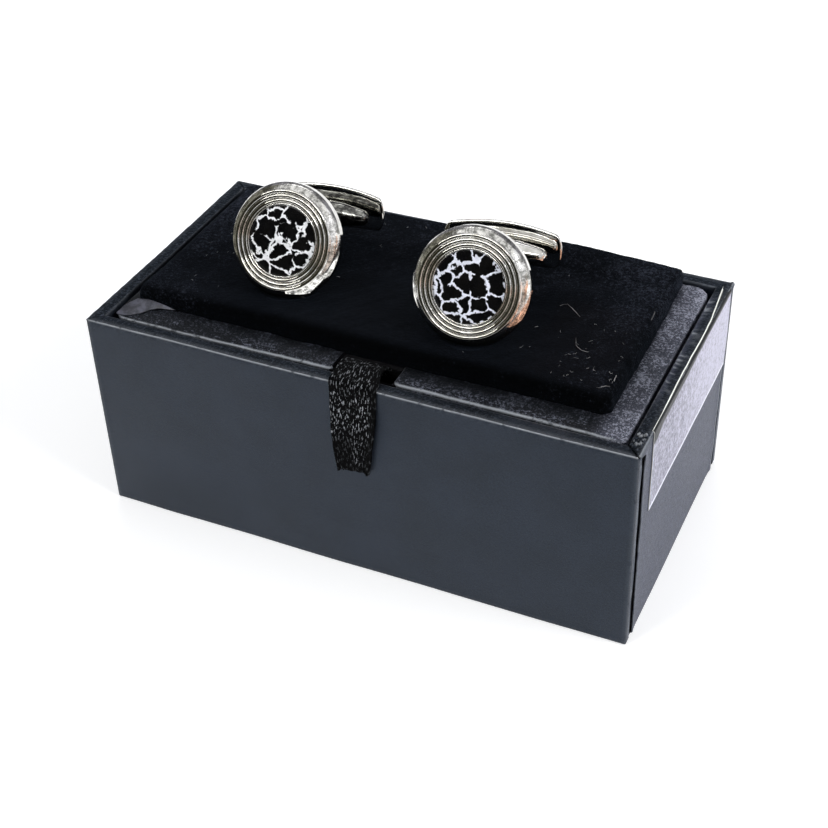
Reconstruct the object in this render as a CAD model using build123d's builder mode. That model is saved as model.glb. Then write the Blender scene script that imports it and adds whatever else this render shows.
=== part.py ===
"""Cufflink display box: a paper-covered tray, a lift-out velvet insert and a pair of swivel-back cufflinks.

Frame: millimetres, +Z up, origin at the centre of the tray's underside, +X along the tray's length,
the ribbon tab on the -Y side.
"""
import os
from math import asin, cos, degrees, radians, sin, tan

from build123d import *

# ---------------------------------------------------------------- driving dimensions
# tray
tray_length = 80.0
tray_width = 42.6
tray_height = 32.0
board = 1.7                # greyboard thickness
paper = 0.2                # covering paper thickness
turn_in = 15.0             # how far the covering paper goes down inside the wall
corner_lip = 1.2           # how far the long sides' paper goes round onto the ends
seam_gap = 0.05            # between two papers that meet on one face
stay_thickness = 0.12      # corner tape
stay_leg = 9.0
stay_margin = 1.0          # tape's distance from the board's top and bottom edge

# the overlapping strip on the right end, as distances on that end
strip_thickness = 0.15
strip_front = 5.7          # from the front face
strip_rear = 1.9           # from the back face
strip_drop = 12.8          # below the rim
strip_corner = 0.6         # radius of its lower rear corner
strip_lip = 0.45           # how far it goes over the rim

# insert
insert_gap = 0.5           # between the insert and the tray's lining, each side
insert_seat = 0.05         # between the legs and the floor lining
insert_corner = 2.0
deck_board_thickness = 1.2
deck_paper = 0.25
deck_drop = 0.2            # deck's top below the rim
deck_turn_under = 6.0
leg_card = 0.9
leg_inset = 1.2            # from the deck's edge to a leg's outer face

# velvet pad
pad_margin_left = 1.4      # border that stays free of velvet
pad_margin_right = 3.5
pad_margin_front = 4.1
pad_margin_back = 0.8
pad_corner = 1.6
foam_thickness = 1.9
velvet = 0.7
velvet_edge = 0.6          # rounding along the pad's top edge

# slits in the pad, in which the cufflink faces stand
slit_length = 18.0
slit_width = 4.1
slit_rear_reach = 3.2      # slit's rear edge behind the left face's lowest front point
deck_slit_width = 2.5

# ribbon tab
ribbon_thickness = 0.3
ribbon_width = 7.5
ribbon_x = 1.65            # middle of the ribbon at the rim
ribbon_end_width = 4.8
ribbon_end_x = 0.8         # middle of its lower end
ribbon_hang = 14.5         # from the rim to its lower end
ribbon_clearance = 0.2     # between the ribbon and the tray
ribbon_glued = 3.0         # length glued under the deck
notch_width = 8.6
notch_depth = 3.4
notch_x = 1.25

# cufflink face
face_radius = 7.95
face_thickness = 2.8
front_ring_radius = 7.0
shoulder_depth = 1.5       # from the front ring back to the straight side wall
bead_radius = 0.26
bead_pitch = 0.68
bead_count = 3
land_depth = 0.2           # the beads' seat below the front plane
cup_depth = 1.5
stone_radius = 4.85
stone_crown = 0.3
stone_edge_depth = 0.25
bezel_wall = 0.22
bezel_proud = 0.05
set_clearance = 0.02       # between stone, bezel and cup
rim_sink = 0.8             # how deep a face's rear edge sits in its slit

# cufflink back
pin_depth = 14.4           # hinge pin behind the front plane
pin_rise = 3.6             # hinge pin above the middle of the face
post_rake = 17.0           # degrees between the post and the face's normal
post_width = 2.5
post_thickness = 1.2
foot_radius = 2.5
foot_thickness = 0.7
pin_radius = 0.5
pin_running = 0.04         # radial clearance of the pin in the post
pin_fixed = 0.01           # radial clearance of the pin in the barrel
slot_clearance = 0.05      # between the post and the barrel's slot
barrel_radius = 1.75
barrel_half_length = 6.8
barrel_straight = 2.6      # half length of the barrel's straight middle
barrel_nose_radius = 1.1
barrel_nose_length = 0.7
leaf_half_length = 8.5
leaf_corner_x = 7.8
leaf_half_height = 3.05
leaf_end_half_height = 2.45
leaf_thickness = 0.9
leaf_standoff = 2.9        # from the pin to the leaf's inner face, in the middle
leaf_bow = 1.4             # how much nearer to the face the leaf's ends are
boss_half_width = 2.2
boss_half_height = 1.4
ball_radius = 0.55
bore_radius = 0.6
bore_length = 3.9
spring_wire = 0.09
spring_turns = 5

# where each cufflink stands: the middle of its face, as x from the middle of the tray and setback from
# the pad's front edge, with its turn about Z and its lean back in degrees
stands = {
    "left": {"x": -16.05, "setback": 7.75, "turn": 4.5, "lean": 27.4},
    "right": {"x": 12.06, "setback": 6.45, "turn": 6.6, "lean": 25.6},
}

# ---------------------------------------------------------------- derived sizes
half_length = tray_length / 2
half_width = tray_width / 2
board_x = half_length - paper                     # outer face of the end boards
board_y = half_width - paper                      # outer face of the long boards
board_inner_x = board_x - board
board_inner_y = board_y - board
inner_x = board_inner_x - paper                   # face of the paper inside
inner_y = board_inner_y - paper
board_top = tray_height - paper
floor_board_top = paper + board
floor_top = floor_board_top + paper

deck_x = inner_x - insert_gap
deck_y = inner_y - insert_gap
deck_top = tray_height - deck_drop
deck_board_top = deck_top - deck_paper
deck_board_bottom = deck_board_top - deck_board_thickness
deck_bottom = deck_board_bottom - deck_paper
deck_thickness = deck_top - deck_bottom

pad_left = -deck_x + pad_margin_left
pad_right = deck_x - pad_margin_right
pad_front = -deck_y + pad_margin_front
pad_back = deck_y - pad_margin_back
pad_middle = ((pad_left + pad_right) / 2, (pad_front + pad_back) / 2)
pad_length = pad_right - pad_left
pad_width = pad_back - pad_front
pad_top = deck_top + foam_thickness + velvet
for stand in stands.values():
    stand["y"] = pad_front + stand["setback"]

cup_radius = stone_radius + set_clearance + bezel_wall + set_clearance
crown_radius = (stone_radius**2 + stone_crown**2) / (2 * stone_crown)
crown_angle = degrees(asin(stone_radius / crown_radius))
post_length = (pin_depth - face_thickness) / cos(radians(post_rake))
post_end_radius = post_width / 2
slot_half = post_thickness / 2 + slot_clearance
slot_reach = post_end_radius + slot_clearance
slot_length = slot_reach + barrel_half_length + slot_clearance

os.makedirs("parts", exist_ok=True)


def save(builder, name):
    """Label a finished piece and write it as its own STEP file."""
    builder.part.label = name
    export_step(builder.part, f"parts/{name}.step")


def block(x_range, y_range, z_range, mode=Mode.ADD):
    """A box given by its limits along each axis."""
    limits = [sorted(limit) for limit in (x_range, y_range, z_range)]
    with Locations(tuple(sum(limit) / 2 for limit in limits)):
        Box(*[high - low for low, high in limits], mode=mode)


# ---------------------------------------------------------------- tray: boards and corner tapes
with BuildPart() as corner_stays:
    for side_x in (-1, 1):
        for side_y in (-1, 1):
            block(
                (side_x * (board_x - stay_leg), side_x * board_x),
                (side_y * (board_y - stay_thickness), side_y * board_y),
                (paper + stay_margin, board_top - stay_margin),
            )
            block(
                (side_x * (board_x - stay_thickness), side_x * board_x),
                (side_y * (board_y - stay_leg), side_y * board_y),
                (paper + stay_margin, board_top - stay_margin),
            )
save(corner_stays, "corner_stays")

with BuildPart() as bottom_board:
    block((-board_inner_x, board_inner_x), (-board_inner_y, board_inner_y), (paper, floor_board_top))
save(bottom_board, "bottom_board")

for name, side in (("front_board", -1), ("back_board", 1)):
    with BuildPart() as long_board:
        block((-board_x, board_x), (side * board_inner_y, side * board_y), (paper, board_top))
        add(corner_stays.part, mode=Mode.SUBTRACT)
    save(long_board, name)

for name, side in (("left_board", -1), ("right_board", 1)):
    with BuildPart() as end_board:
        block((side * board_inner_x, side * board_x), (-board_inner_y, board_inner_y), (paper, board_top))
        add(corner_stays.part, mode=Mode.SUBTRACT)
    save(end_board, name)

# ---------------------------------------------------------------- tray: covering papers
with BuildPart() as base_sheet:
    block((-board_x, board_x), (-board_y, board_y), (0, paper))
save(base_sheet, "base_sheet")

with BuildPart() as floor_lining:
    block((-inner_x, inner_x), (-inner_y, inner_y), (floor_board_top, floor_top))
save(floor_lining, "floor_lining")

for name, side in (("front_wrap", -1), ("back_wrap", 1)):
    with BuildPart() as long_wrap:
        block((-half_length, half_length), (side * board_y, side * half_width), (0, board_top))
        for end in (-1, 1):
            block(
                (end * board_x, end * half_length),
                (side * (half_width - corner_lip), side * half_width),
                (0, board_top),
            )
        block(
            (-board_inner_x, board_inner_x),
            (side * inner_y, side * board_inner_y),
            (board_top - turn_in, board_top),
        )
        with BuildSketch(Plane.XY.offset(board_top)):
            with BuildLine():
                Polyline(
                    (-half_length, side * half_width),
                    (half_length, side * half_width),
                    (inner_x, side * inner_y),
                    (-inner_x, side * inner_y),
                    close=True,
                )
            make_face()
        extrude(amount=paper, dir=(0, 0, 1))
    save(long_wrap, name)

flap_y = half_width - corner_lip - seam_gap
for name, side in (("left_wrap", -1), ("right_wrap", 1)):
    with BuildPart() as end_wrap:
        block((side * board_x, side * half_length), (-flap_y, flap_y), (0, board_top))
        block(
            (side * inner_x, side * board_inner_x),
            (-inner_y, inner_y),
            (board_top - turn_in, board_top),
        )
        with BuildSketch(Plane.XY.offset(board_top)):
            with BuildLine():
                Polyline(
                    (side * half_length, -half_width),
                    (side * half_length, half_width),
                    (side * inner_x, inner_y),
                    (side * inner_x, -inner_y),
                    close=True,
                )
            make_face()
        extrude(amount=paper, dir=(0, 0, 1))
    save(end_wrap, name)

# The strip lies on the right end and its top edge is turned over the rim.
strip_start = -half_width + strip_front
strip_end = half_width - strip_rear
with BuildPart() as right_end_strip:
    with BuildSketch(Plane.YZ.offset(half_length)) as strip_outline:
        with Locations(((strip_start + strip_end) / 2, tray_height - strip_drop / 2)):
            Rectangle(strip_end - strip_start, strip_drop)
        fillet(strip_outline.vertices().group_by(Axis.X)[-1].sort_by(Axis.Y)[0], strip_corner)
    extrude(amount=strip_thickness)
    block(
        (half_length - strip_lip, half_length + strip_thickness),
        (strip_start, strip_end),
        (tray_height, tray_height + strip_thickness),
    )
save(right_end_strip, "right_end_strip")

# ---------------------------------------------------------------- insert: deck and legs
notch_front = -deck_y - insert_gap
notch_back = -deck_y + notch_depth
slit_back = stands["left"]["y"] - face_radius * sin(radians(stands["left"]["lean"])) + slit_rear_reach
slit_middle = slit_back - slit_width / 2


def cut_slits(width, bottom, top):
    """Cut the two cufflink slits through whatever is being built."""
    for stand in stands.values():
        block(
            (stand["x"] - slit_length / 2, stand["x"] + slit_length / 2),
            (slit_middle - width / 2, slit_middle + width / 2),
            (bottom, top),
            mode=Mode.SUBTRACT,
        )


def cut_notch(bottom, top):
    """Cut the ribbon's notch in the front edge of whatever is being built."""
    block(
        (notch_x - notch_width / 2, notch_x + notch_width / 2),
        (notch_front, notch_back),
        (bottom, top),
        mode=Mode.SUBTRACT,
    )


with BuildPart() as deck_board:
    with BuildSketch(Plane.XY.offset(deck_board_bottom)):
        RectangleRounded(
            2 * (deck_x - deck_paper), 2 * (deck_y - deck_paper), insert_corner - deck_paper
        )
    extrude(amount=deck_board_thickness)
    cut_slits(deck_slit_width, deck_board_bottom, deck_board_top)
    cut_notch(deck_board_bottom, deck_board_top)
save(deck_board, "deck_board")

with BuildPart() as deck_wrap:
    with BuildSketch(Plane.XY.offset(deck_bottom)):
        RectangleRounded(2 * deck_x, 2 * deck_y, insert_corner)
    extrude(amount=deck_thickness)
    with BuildSketch(Plane.XY.offset(deck_board_bottom)):
        RectangleRounded(
            2 * (deck_x - deck_paper), 2 * (deck_y - deck_paper), insert_corner - deck_paper
        )
    extrude(amount=deck_board_thickness, mode=Mode.SUBTRACT)
    with BuildSketch(Plane.XY.offset(deck_bottom)):
        Rectangle(2 * (deck_x - deck_turn_under), 2 * (deck_y - deck_turn_under))
    extrude(amount=deck_paper, mode=Mode.SUBTRACT)
    cut_slits(deck_slit_width, deck_board_top, deck_top)
    cut_notch(deck_bottom, deck_top)
save(deck_wrap, "deck_wrap")

leg_x = deck_x - leg_inset
leg_y = deck_y - leg_inset
leg_bottom = floor_top + insert_seat
for name, side in (("front_leg", -1), ("back_leg", 1)):
    with BuildPart() as long_leg:
        block((-leg_x, leg_x), (side * (leg_y - leg_card), side * leg_y), (leg_bottom, deck_bottom))
    save(long_leg, name)

for name, side in (("left_leg", -1), ("right_leg", 1)):
    with BuildPart() as end_leg:
        block(
            (side * (leg_x - leg_card), side * leg_x),
            (-leg_y + leg_card, leg_y - leg_card),
            (leg_bottom, deck_bottom),
        )
    save(end_leg, name)

# ---------------------------------------------------------------- insert: velvet pad
with BuildPart() as foam_pad:
    with BuildSketch(Plane.XY.offset(deck_top)):
        with Locations(pad_middle):
            RectangleRounded(pad_length - 2 * velvet, pad_width - 2 * velvet, pad_corner - velvet)
    extrude(amount=foam_thickness)
    cut_slits(slit_width, deck_top, deck_top + foam_thickness)
save(foam_pad, "foam_pad")

with BuildPart() as velvet_cover:
    with BuildSketch(Plane.XY.offset(deck_top)):
        with Locations(pad_middle):
            RectangleRounded(pad_length, pad_width, pad_corner)
    extrude(amount=pad_top - deck_top)
    fillet(velvet_cover.faces().sort_by(Axis.Z)[-1].edges(), velvet_edge)
    with BuildSketch(Plane.XY.offset(deck_top)):
        with Locations(pad_middle):
            RectangleRounded(pad_length - 2 * velvet, pad_width - 2 * velvet, pad_corner - velvet)
    extrude(amount=foam_thickness, mode=Mode.SUBTRACT)
    cut_slits(slit_width, deck_top, pad_top)
save(velvet_cover, "velvet_cover")

# ---------------------------------------------------------------- insert: ribbon tab
ribbon_half = ribbon_thickness / 2
ribbon_rise_y = (notch_back - leg_y + leg_card) / 2
ribbon_flat_z = deck_bottom - ribbon_half
ribbon_rim_z = tray_height + ribbon_clearance + ribbon_half
ribbon_face_y = -half_width - ribbon_clearance - ribbon_half
ribbon_low_z = tray_height - ribbon_hang
ribbon_crest_z = ribbon_rim_z + ribbon_thickness
with BuildPart() as ribbon_tab:
    with BuildSketch(Plane.YZ.offset(ribbon_x - ribbon_width / 2)):
        with BuildLine():
            FilletPolyline(
                (ribbon_rise_y + ribbon_glued, ribbon_flat_z),
                (ribbon_rise_y, ribbon_flat_z),
                (ribbon_rise_y, ribbon_crest_z),
                (ribbon_face_y, ribbon_rim_z),
                (ribbon_face_y, ribbon_low_z),
                radius=2 * ribbon_half,
            )
        trace(line_width=ribbon_thickness)
    extrude(amount=ribbon_width)
    # The hanging end narrows downwards, more on its right edge.
    with BuildSketch(Plane.XZ):
        with BuildLine():
            Polyline(
                (ribbon_x - ribbon_width / 2, deck_bottom - ribbon_thickness),
                (ribbon_end_x - ribbon_end_width / 2, ribbon_low_z - ribbon_half),
                (ribbon_end_x + ribbon_end_width / 2, ribbon_low_z - ribbon_half),
                (ribbon_x + ribbon_width / 2, deck_bottom - ribbon_thickness),
                (ribbon_x + ribbon_width / 2, ribbon_crest_z + ribbon_thickness),
                (ribbon_x - ribbon_width / 2, ribbon_crest_z + ribbon_thickness),
                close=True,
            )
        make_face()
    extrude(amount=tray_width, both=True, mode=Mode.INTERSECT)
save(ribbon_tab, "ribbon_tab")

# ---------------------------------------------------------------- cufflinks


def face_frame(stand):
    """The plane of a face's front ring: X to the right, Y up the face, Z out of it."""
    turn = radians(stand["turn"])
    lean = radians(stand["lean"])
    height = pad_top - rim_sink + face_radius * cos(lean) + face_thickness * sin(lean)
    outward = (sin(turn) * cos(lean), -cos(turn) * cos(lean), sin(lean))
    return Plane(origin=(stand["x"], stand["y"], height), x_dir=(cos(turn), sin(turn), 0), z_dir=outward)


def make_face_parts(side, face):
    """The stepped face, its bezel and its stone, all turned about the face's normal."""
    section = Plane(origin=face.origin, x_dir=face.x_dir, z_dir=-face.y_dir)
    normal = Axis(face.origin, face.z_dir)

    with BuildPart() as face_body:
        with BuildSketch(section):
            with BuildLine():
                Polyline(
                    (0, -face_thickness),
                    (face_radius, -face_thickness),
                    (face_radius, -shoulder_depth),
                    (front_ring_radius, -land_depth),
                    (cup_radius, -land_depth),
                    (cup_radius, -cup_depth),
                    (0, -cup_depth),
                    close=True,
                )
            make_face()
            for index in range(bead_count):
                with Locations((front_ring_radius - bead_radius - index * bead_pitch, -land_depth)):
                    Circle(bead_radius)
        revolve(axis=normal)
    save(face_body, f"{side}_face_body")

    with BuildPart() as bezel_ring:
        with BuildSketch(section):
            with BuildLine():
                Polyline(
                    (stone_radius + set_clearance, -cup_depth),
                    (cup_radius - set_clearance, -cup_depth),
                    (cup_radius - set_clearance, bezel_proud),
                    (stone_radius + set_clearance, bezel_proud),
                    close=True,
                )
            make_face()
        revolve(axis=normal)
    save(bezel_ring, f"{side}_bezel_ring")

    with BuildPart() as stone:
        with BuildSketch(section):
            with BuildLine():
                crown = CenterArc(
                    center=(0, stone_crown - stone_edge_depth - crown_radius),
                    radius=crown_radius,
                    start_angle=90 - crown_angle,
                    arc_size=crown_angle,
                )
                Polyline(crown @ 1, (0, -cup_depth), (stone_radius, -cup_depth), crown @ 0)
            make_face()
        revolve(axis=normal)
    save(stone, f"{side}_stone")


def make_back_parts(side, face, swivel):
    """The post on the face's back and the toggle that turns on it.

    swivel is the toggle's frame: origin on the hinge pin, X along the toggle, Y along the pin,
    Z along the post towards the face.
    """
    side_view = Plane(origin=swivel.origin, x_dir=swivel.x_dir, z_dir=-swivel.y_dir)
    along_toggle = Axis(swivel.origin, swivel.x_dir)
    down_pin = side_view.offset(barrel_radius)
    back_of_face = face.offset(-face_thickness)
    foot_rise = pin_rise - (pin_depth - face_thickness) * tan(radians(post_rake))

    with BuildPart() as post:
        with BuildSketch(side_view):
            with Locations((0, post_length / 2)):
                Rectangle(post_width, post_length)
            Circle(post_end_radius)
        extrude(amount=post_thickness / 2, both=True)
        with BuildSketch(back_of_face):
            with Locations((0, foot_rise)):
                Circle(foot_radius)
        extrude(amount=-foot_thickness)
        split(bisect_by=back_of_face, keep=Keep.BOTTOM)
        with BuildSketch(down_pin):
            Circle(pin_radius + pin_running)
        extrude(amount=-2 * barrel_radius, mode=Mode.SUBTRACT)
    save(post, f"{side}_post")

    with BuildPart() as toggle_barrel:
        with BuildSketch(side_view):
            with BuildLine():
                shoulder_x = barrel_half_length - barrel_nose_length
                Polyline((-barrel_half_length, 0), (barrel_half_length, 0))
                ThreePointArc(
                    (barrel_half_length, 0),
                    (shoulder_x + barrel_nose_length * 0.8, barrel_nose_radius * 0.6),
                    (shoulder_x, barrel_nose_radius),
                )
                Polyline(
                    (shoulder_x, barrel_nose_radius),
                    (barrel_straight, barrel_radius),
                    (-barrel_straight, barrel_radius),
                    (-shoulder_x, barrel_nose_radius),
                )
                ThreePointArc(
                    (-shoulder_x, barrel_nose_radius),
                    (-shoulder_x - barrel_nose_length * 0.8, barrel_nose_radius * 0.6),
                    (-barrel_half_length, 0),
                )
            make_face()
        revolve(axis=along_toggle)
        # The slot takes the post as the toggle turns a quarter turn, its left end towards the face.
        with BuildSketch(side_view):
            Circle(slot_reach)
            with Locations((slot_reach, -slot_reach)):
                Rectangle(slot_length, barrel_radius + slot_reach, align=(Align.MAX, Align.MIN))
        extrude(amount=slot_half, both=True, mode=Mode.SUBTRACT)
        with BuildSketch(down_pin):
            Circle(pin_radius + pin_fixed)
        extrude(amount=-2 * barrel_radius, mode=Mode.SUBTRACT)
        with BuildSketch(Plane(origin=swivel.origin, x_dir=swivel.y_dir, z_dir=swivel.x_dir)):
            Circle(bore_radius)
        extrude(amount=slot_reach + bore_length, mode=Mode.SUBTRACT)
    save(toggle_barrel, f"{side}_toggle_barrel")

    with BuildPart() as hinge_pin:
        with BuildSketch(down_pin):
            Circle(pin_radius)
        extrude(amount=-2 * barrel_radius)
    save(hinge_pin, f"{side}_hinge_pin")

    with BuildPart() as toggle_leaf:
        with BuildSketch(side_view):
            with BuildLine():
                inner = ThreePointArc(
                    (-leaf_half_length, leaf_bow - leaf_standoff),
                    (0, -leaf_standoff),
                    (leaf_half_length, leaf_bow - leaf_standoff),
                )
                outer = ThreePointArc(
                    (-leaf_half_length, leaf_bow - leaf_standoff - leaf_thickness),
                    (0, -leaf_standoff - leaf_thickness),
                    (leaf_half_length, leaf_bow - leaf_standoff - leaf_thickness),
                )
                Line(inner @ 0, outer @ 0)
                Line(inner @ 1, outer @ 1)
            make_face()
        extrude(amount=leaf_half_height, both=True)
        with BuildSketch(swivel):
            with BuildLine():
                upper = ThreePointArc(
                    (-leaf_corner_x, leaf_end_half_height),
                    (0, leaf_half_height),
                    (leaf_corner_x, leaf_end_half_height),
                )
                ThreePointArc(upper @ 1, (leaf_half_length, 0), (leaf_corner_x, -leaf_end_half_height))
                lower = ThreePointArc(
                    (leaf_corner_x, -leaf_end_half_height),
                    (0, -leaf_half_height),
                    (-leaf_corner_x, -leaf_end_half_height),
                )
                ThreePointArc(lower @ 1, (-leaf_half_length, 0), upper @ 0)
            make_face()
        extrude(amount=2 * leaf_standoff, both=True, mode=Mode.INTERSECT)
        # The boss joins the leaf's inner face to the back of the barrel.
        with BuildSketch(swivel.offset(-leaf_standoff - leaf_thickness / 2)):
            Rectangle(2 * boss_half_width, 2 * boss_half_height)
        extrude(amount=leaf_standoff - slot_reach / 2 + leaf_thickness / 2)
        with BuildSketch(Plane(origin=swivel.origin, x_dir=swivel.y_dir, z_dir=swivel.x_dir)):
            Circle(barrel_radius)
        extrude(amount=leaf_half_length, both=True, mode=Mode.SUBTRACT)
    save(toggle_leaf, f"{side}_toggle_leaf")

    ball_x = slot_reach + ball_radius
    spring_start = ball_x + ball_radius + spring_wire
    spring_end = slot_reach + bore_length - spring_wire
    with BuildPart() as click_ball:
        with Locations(Plane(origin=swivel.from_local_coords((ball_x, 0, 0)), z_dir=swivel.x_dir)):
            Sphere(ball_radius)
    save(click_ball, f"{side}_click_ball")

    coil_radius = bore_radius - 2 * spring_wire
    with BuildPart() as click_spring:
        with BuildLine():
            coil = Helix(
                pitch=(spring_end - spring_start) / spring_turns,
                height=spring_end - spring_start,
                radius=coil_radius,
                center=swivel.from_local_coords((spring_start, 0, 0)),
                direction=swivel.x_dir,
            )
        with BuildSketch(Plane(origin=coil @ 0, z_dir=coil % 0)):
            Circle(spring_wire)
        sweep()
    save(click_spring, f"{side}_click_spring")


for side, stand in stands.items():
    face = face_frame(stand)
    rake = radians(post_rake)
    swivel = Plane(
        origin=face.from_local_coords((0, pin_rise, -pin_depth)),
        x_dir=face.x_dir,
        z_dir=face.z_dir * cos(rake) - face.y_dir * sin(rake),
    )
    make_face_parts(side, face)
    make_back_parts(side, face, swivel)
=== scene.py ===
"""Cufflink display box: the papers, velvet pad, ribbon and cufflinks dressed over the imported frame.

Shapes are worked out in millimetres, in the box's own frame: +X along the tray, +Z up, the ribbon
on the -Y side. They become metres when a mesh is made. Only the stage is written in metres.
"""
import math

import bmesh
import bpy
import numpy as np
from mathutils import Matrix
from mathutils.geometry import delaunay_2d_cdt


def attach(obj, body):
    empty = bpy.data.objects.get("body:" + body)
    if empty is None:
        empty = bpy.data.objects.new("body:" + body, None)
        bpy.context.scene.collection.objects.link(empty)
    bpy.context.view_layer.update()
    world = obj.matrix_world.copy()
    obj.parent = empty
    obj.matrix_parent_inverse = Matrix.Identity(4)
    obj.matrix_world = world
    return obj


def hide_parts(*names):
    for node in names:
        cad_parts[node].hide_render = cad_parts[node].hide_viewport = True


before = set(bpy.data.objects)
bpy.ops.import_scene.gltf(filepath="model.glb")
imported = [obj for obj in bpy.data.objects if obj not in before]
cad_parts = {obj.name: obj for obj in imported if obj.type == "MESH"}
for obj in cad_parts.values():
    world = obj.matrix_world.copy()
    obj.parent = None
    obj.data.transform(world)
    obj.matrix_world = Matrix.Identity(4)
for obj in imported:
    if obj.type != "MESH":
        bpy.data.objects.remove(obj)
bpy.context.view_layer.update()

MM = 0.001

# tray
HALF_LENGTH = 40.0
HALF_WIDTH = 21.3
HEIGHT = 32.0
WALL = 2.1
TURN_IN = 15.0
PAPER = 0.2
THIN_PAPER = 0.12
STIFF = 12.0           # a long wall's bow fades over this length towards its corners
LIP = 1.3              # the long papers' reach round onto the ends
JOINT = 1.15           # between a lip and the end's own paper
JOINT_DEPTH = 0.18
EDGE = 0.24            # rounding of the tray's folded edges
LIP_END = HALF_WIDTH - LIP
FLAP_END = LIP_END - JOINT

# strip
STRIP_LOW = 19.25
STRIP_FRONT, STRIP_REAR = -15.6, 19.4
STRIP_FACE = HALF_LENGTH + 0.15

# insert
DECK_X = 37.4
DECK_Y = 18.7
DECK_TOP = 31.8
DECK_BOTTOM = 30.1
DECK_CORNER = 2.0
DECK_EDGE = 0.4
NOTCH_LEFT, NOTCH_RIGHT, NOTCH_BACK = -3.05, 5.55, -14.5
PAD_RISE = 2.6
PAD_TOP = DECK_TOP + PAD_RISE
PAD_LEFT, PAD_RIGHT, PAD_FRONT, PAD_BACK = -36.0, 33.9, -14.6, 18.2
RIBBON_THICKNESS = 0.25

# cufflinks; a height on a face counts outwards from its ring
FACE_RADIUS = 7.95
FACE_THICKNESS = 2.8
SHOULDER_LOW, SHOULDER_HIGH = -1.5, -0.3
RING_RADIUS = 7.0
BEAD_BASE, BEAD_RISE, BEADS = -0.34, 0.40, 3
CUP_RADIUS = 5.12
CUP_FLOOR = -1.5
STONE_RADIUS = 4.85
RIM_SINK = 0.8
PIN_RISE, PIN_DEPTH, POST_RAKE = 3.6, 14.4, 17.0
LEAF_HALF, LEAF_MIDDLE = 8.5, -3.35
# where each face stands: x, y, its turn about the upright and its lean back in degrees
STANDS = {"left": (-16.05, -6.85, 4.5, 27.4), "right": (12.06, -8.15, 6.6, 25.6)}

# camera
AZIMUTH, ELEVATION, ROLL = (math.radians(angle) for angle in (25.834, 37.249, -2.057))
AIM_RIGHT, AIM_UP, DISTANCE = -0.654, 9.678, 236.84
FOCAL_PIXELS, FRAME_PIXELS, SENSOR = 1560.3, 828, 36


# ---------------------------------------------------------------- shapes
def smooth(low, high, x):
    """0 below low, 1 above high, and an S curve 3t^2 - 2t^3 in between. It falls where low is the
    greater."""
    t = np.clip((x - low) / (high - low), 0, 1)
    return t * t * (3 - 2 * t)


def hump(x, middle, width):
    """1 at the middle, falling off on both sides as exp(-t^2), with t the distance in widths."""
    return np.exp(-(((x - middle) / width) ** 2))


def unit(vectors):
    """The same directions, each 1 long."""
    return vectors / np.linalg.norm(vectors, axis=-1, keepdims=True)


def points_at(x, y, z):
    """Points from their coordinates, each repeated to the shape that the three share."""
    return np.stack(np.broadcast_arrays(x, y, z), -1)


def ripple(points, length, seed):
    """A gentle unevenness from about -1 to 1: the sum of nine sine waves of about that length in
    mm, whose directions and phases come from the seed, over 1.5 times the root of nine."""
    waves = 9
    rng = np.random.default_rng(seed)
    way = unit(rng.normal(size=(waves, 3)))
    pace = 2 * np.pi / (length * rng.uniform(0.6, 1.7, waves))
    phase = rng.uniform(0, 2 * np.pi, waves)
    total = np.sin(np.tensordot(points, (way * pace[:, None]).T, 1) + phase).sum(-1)
    return total / waves**0.5 / 1.5


def bent(corners, radii, step):
    """A path along straight runs whose corners are arcs of the given radii, as points about one
    step apart. An arc starts and ends radius / tan(half the corner's angle) from its corner."""
    corners = np.array(corners, float)
    path = [corners[:1]]
    for before, corner, after, radius in zip(corners, corners[1:], corners[2:], radii):
        a = (before - corner) / np.linalg.norm(before - corner)
        b = (after - corner) / np.linalg.norm(after - corner)
        half = math.acos(np.clip(a @ b, -1, 1)) / 2
        turn = math.pi - 2 * half
        reach = radius / math.tan(half)
        middle = corner + (a + b) / np.linalg.norm(a + b) * radius / math.sin(half)
        start = corner + a * reach - middle
        end = corner + b * reach - middle
        t = np.linspace(0, 1, max(4, int(radius * turn / step) + 1))[:, None]
        path.append(middle + (start * np.sin((1 - t) * turn) + end * np.sin(t * turn)) / math.sin(turn))
    path.append(corners[-1:])
    runs = np.concatenate(path)
    full = [runs[:1]]
    for a, b in zip(runs, runs[1:]):
        count = max(1, int(np.linalg.norm(b - a) / step))
        full.append(a + (b - a) * (np.arange(1, count + 1) / count)[:, None])
    return np.concatenate(full)


def normals_of(along):
    """The directions at a right angle to those, on their right-hand side seen from above."""
    return unit(np.stack([along[:, 1], -along[:, 0]], -1))


def grid_faces(points, closed=False):
    """Four-cornered faces between the points of a grid, numbered row by row. A closed grid joins
    its last column to its first."""
    rows, columns = np.shape(points)[:2]
    i = np.arange(rows - 1)[:, None]
    j = np.arange(columns if closed else columns - 1)[None, :]
    after = (j + 1) % columns
    quads = [i * columns + j, i * columns + after, (i + 1) * columns + after, (i + 1) * columns + j]
    return np.stack([np.broadcast_to(q, (i.size, j.size)) for q in quads], -1).reshape(-1, 4)


def new_object(name, points, faces, finishes):
    """A mesh object in the scene, from points in metres."""
    data = bpy.data.meshes.new(name)
    rows = faces if isinstance(faces, list) else faces.tolist()
    data.from_pydata(np.asarray(points, float).reshape(-1, 3).tolist(), [], rows)
    for each in finishes:
        data.materials.append(each)
    made = bpy.data.objects.new(name, data)
    bpy.context.scene.collection.objects.link(made)
    return made


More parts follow.
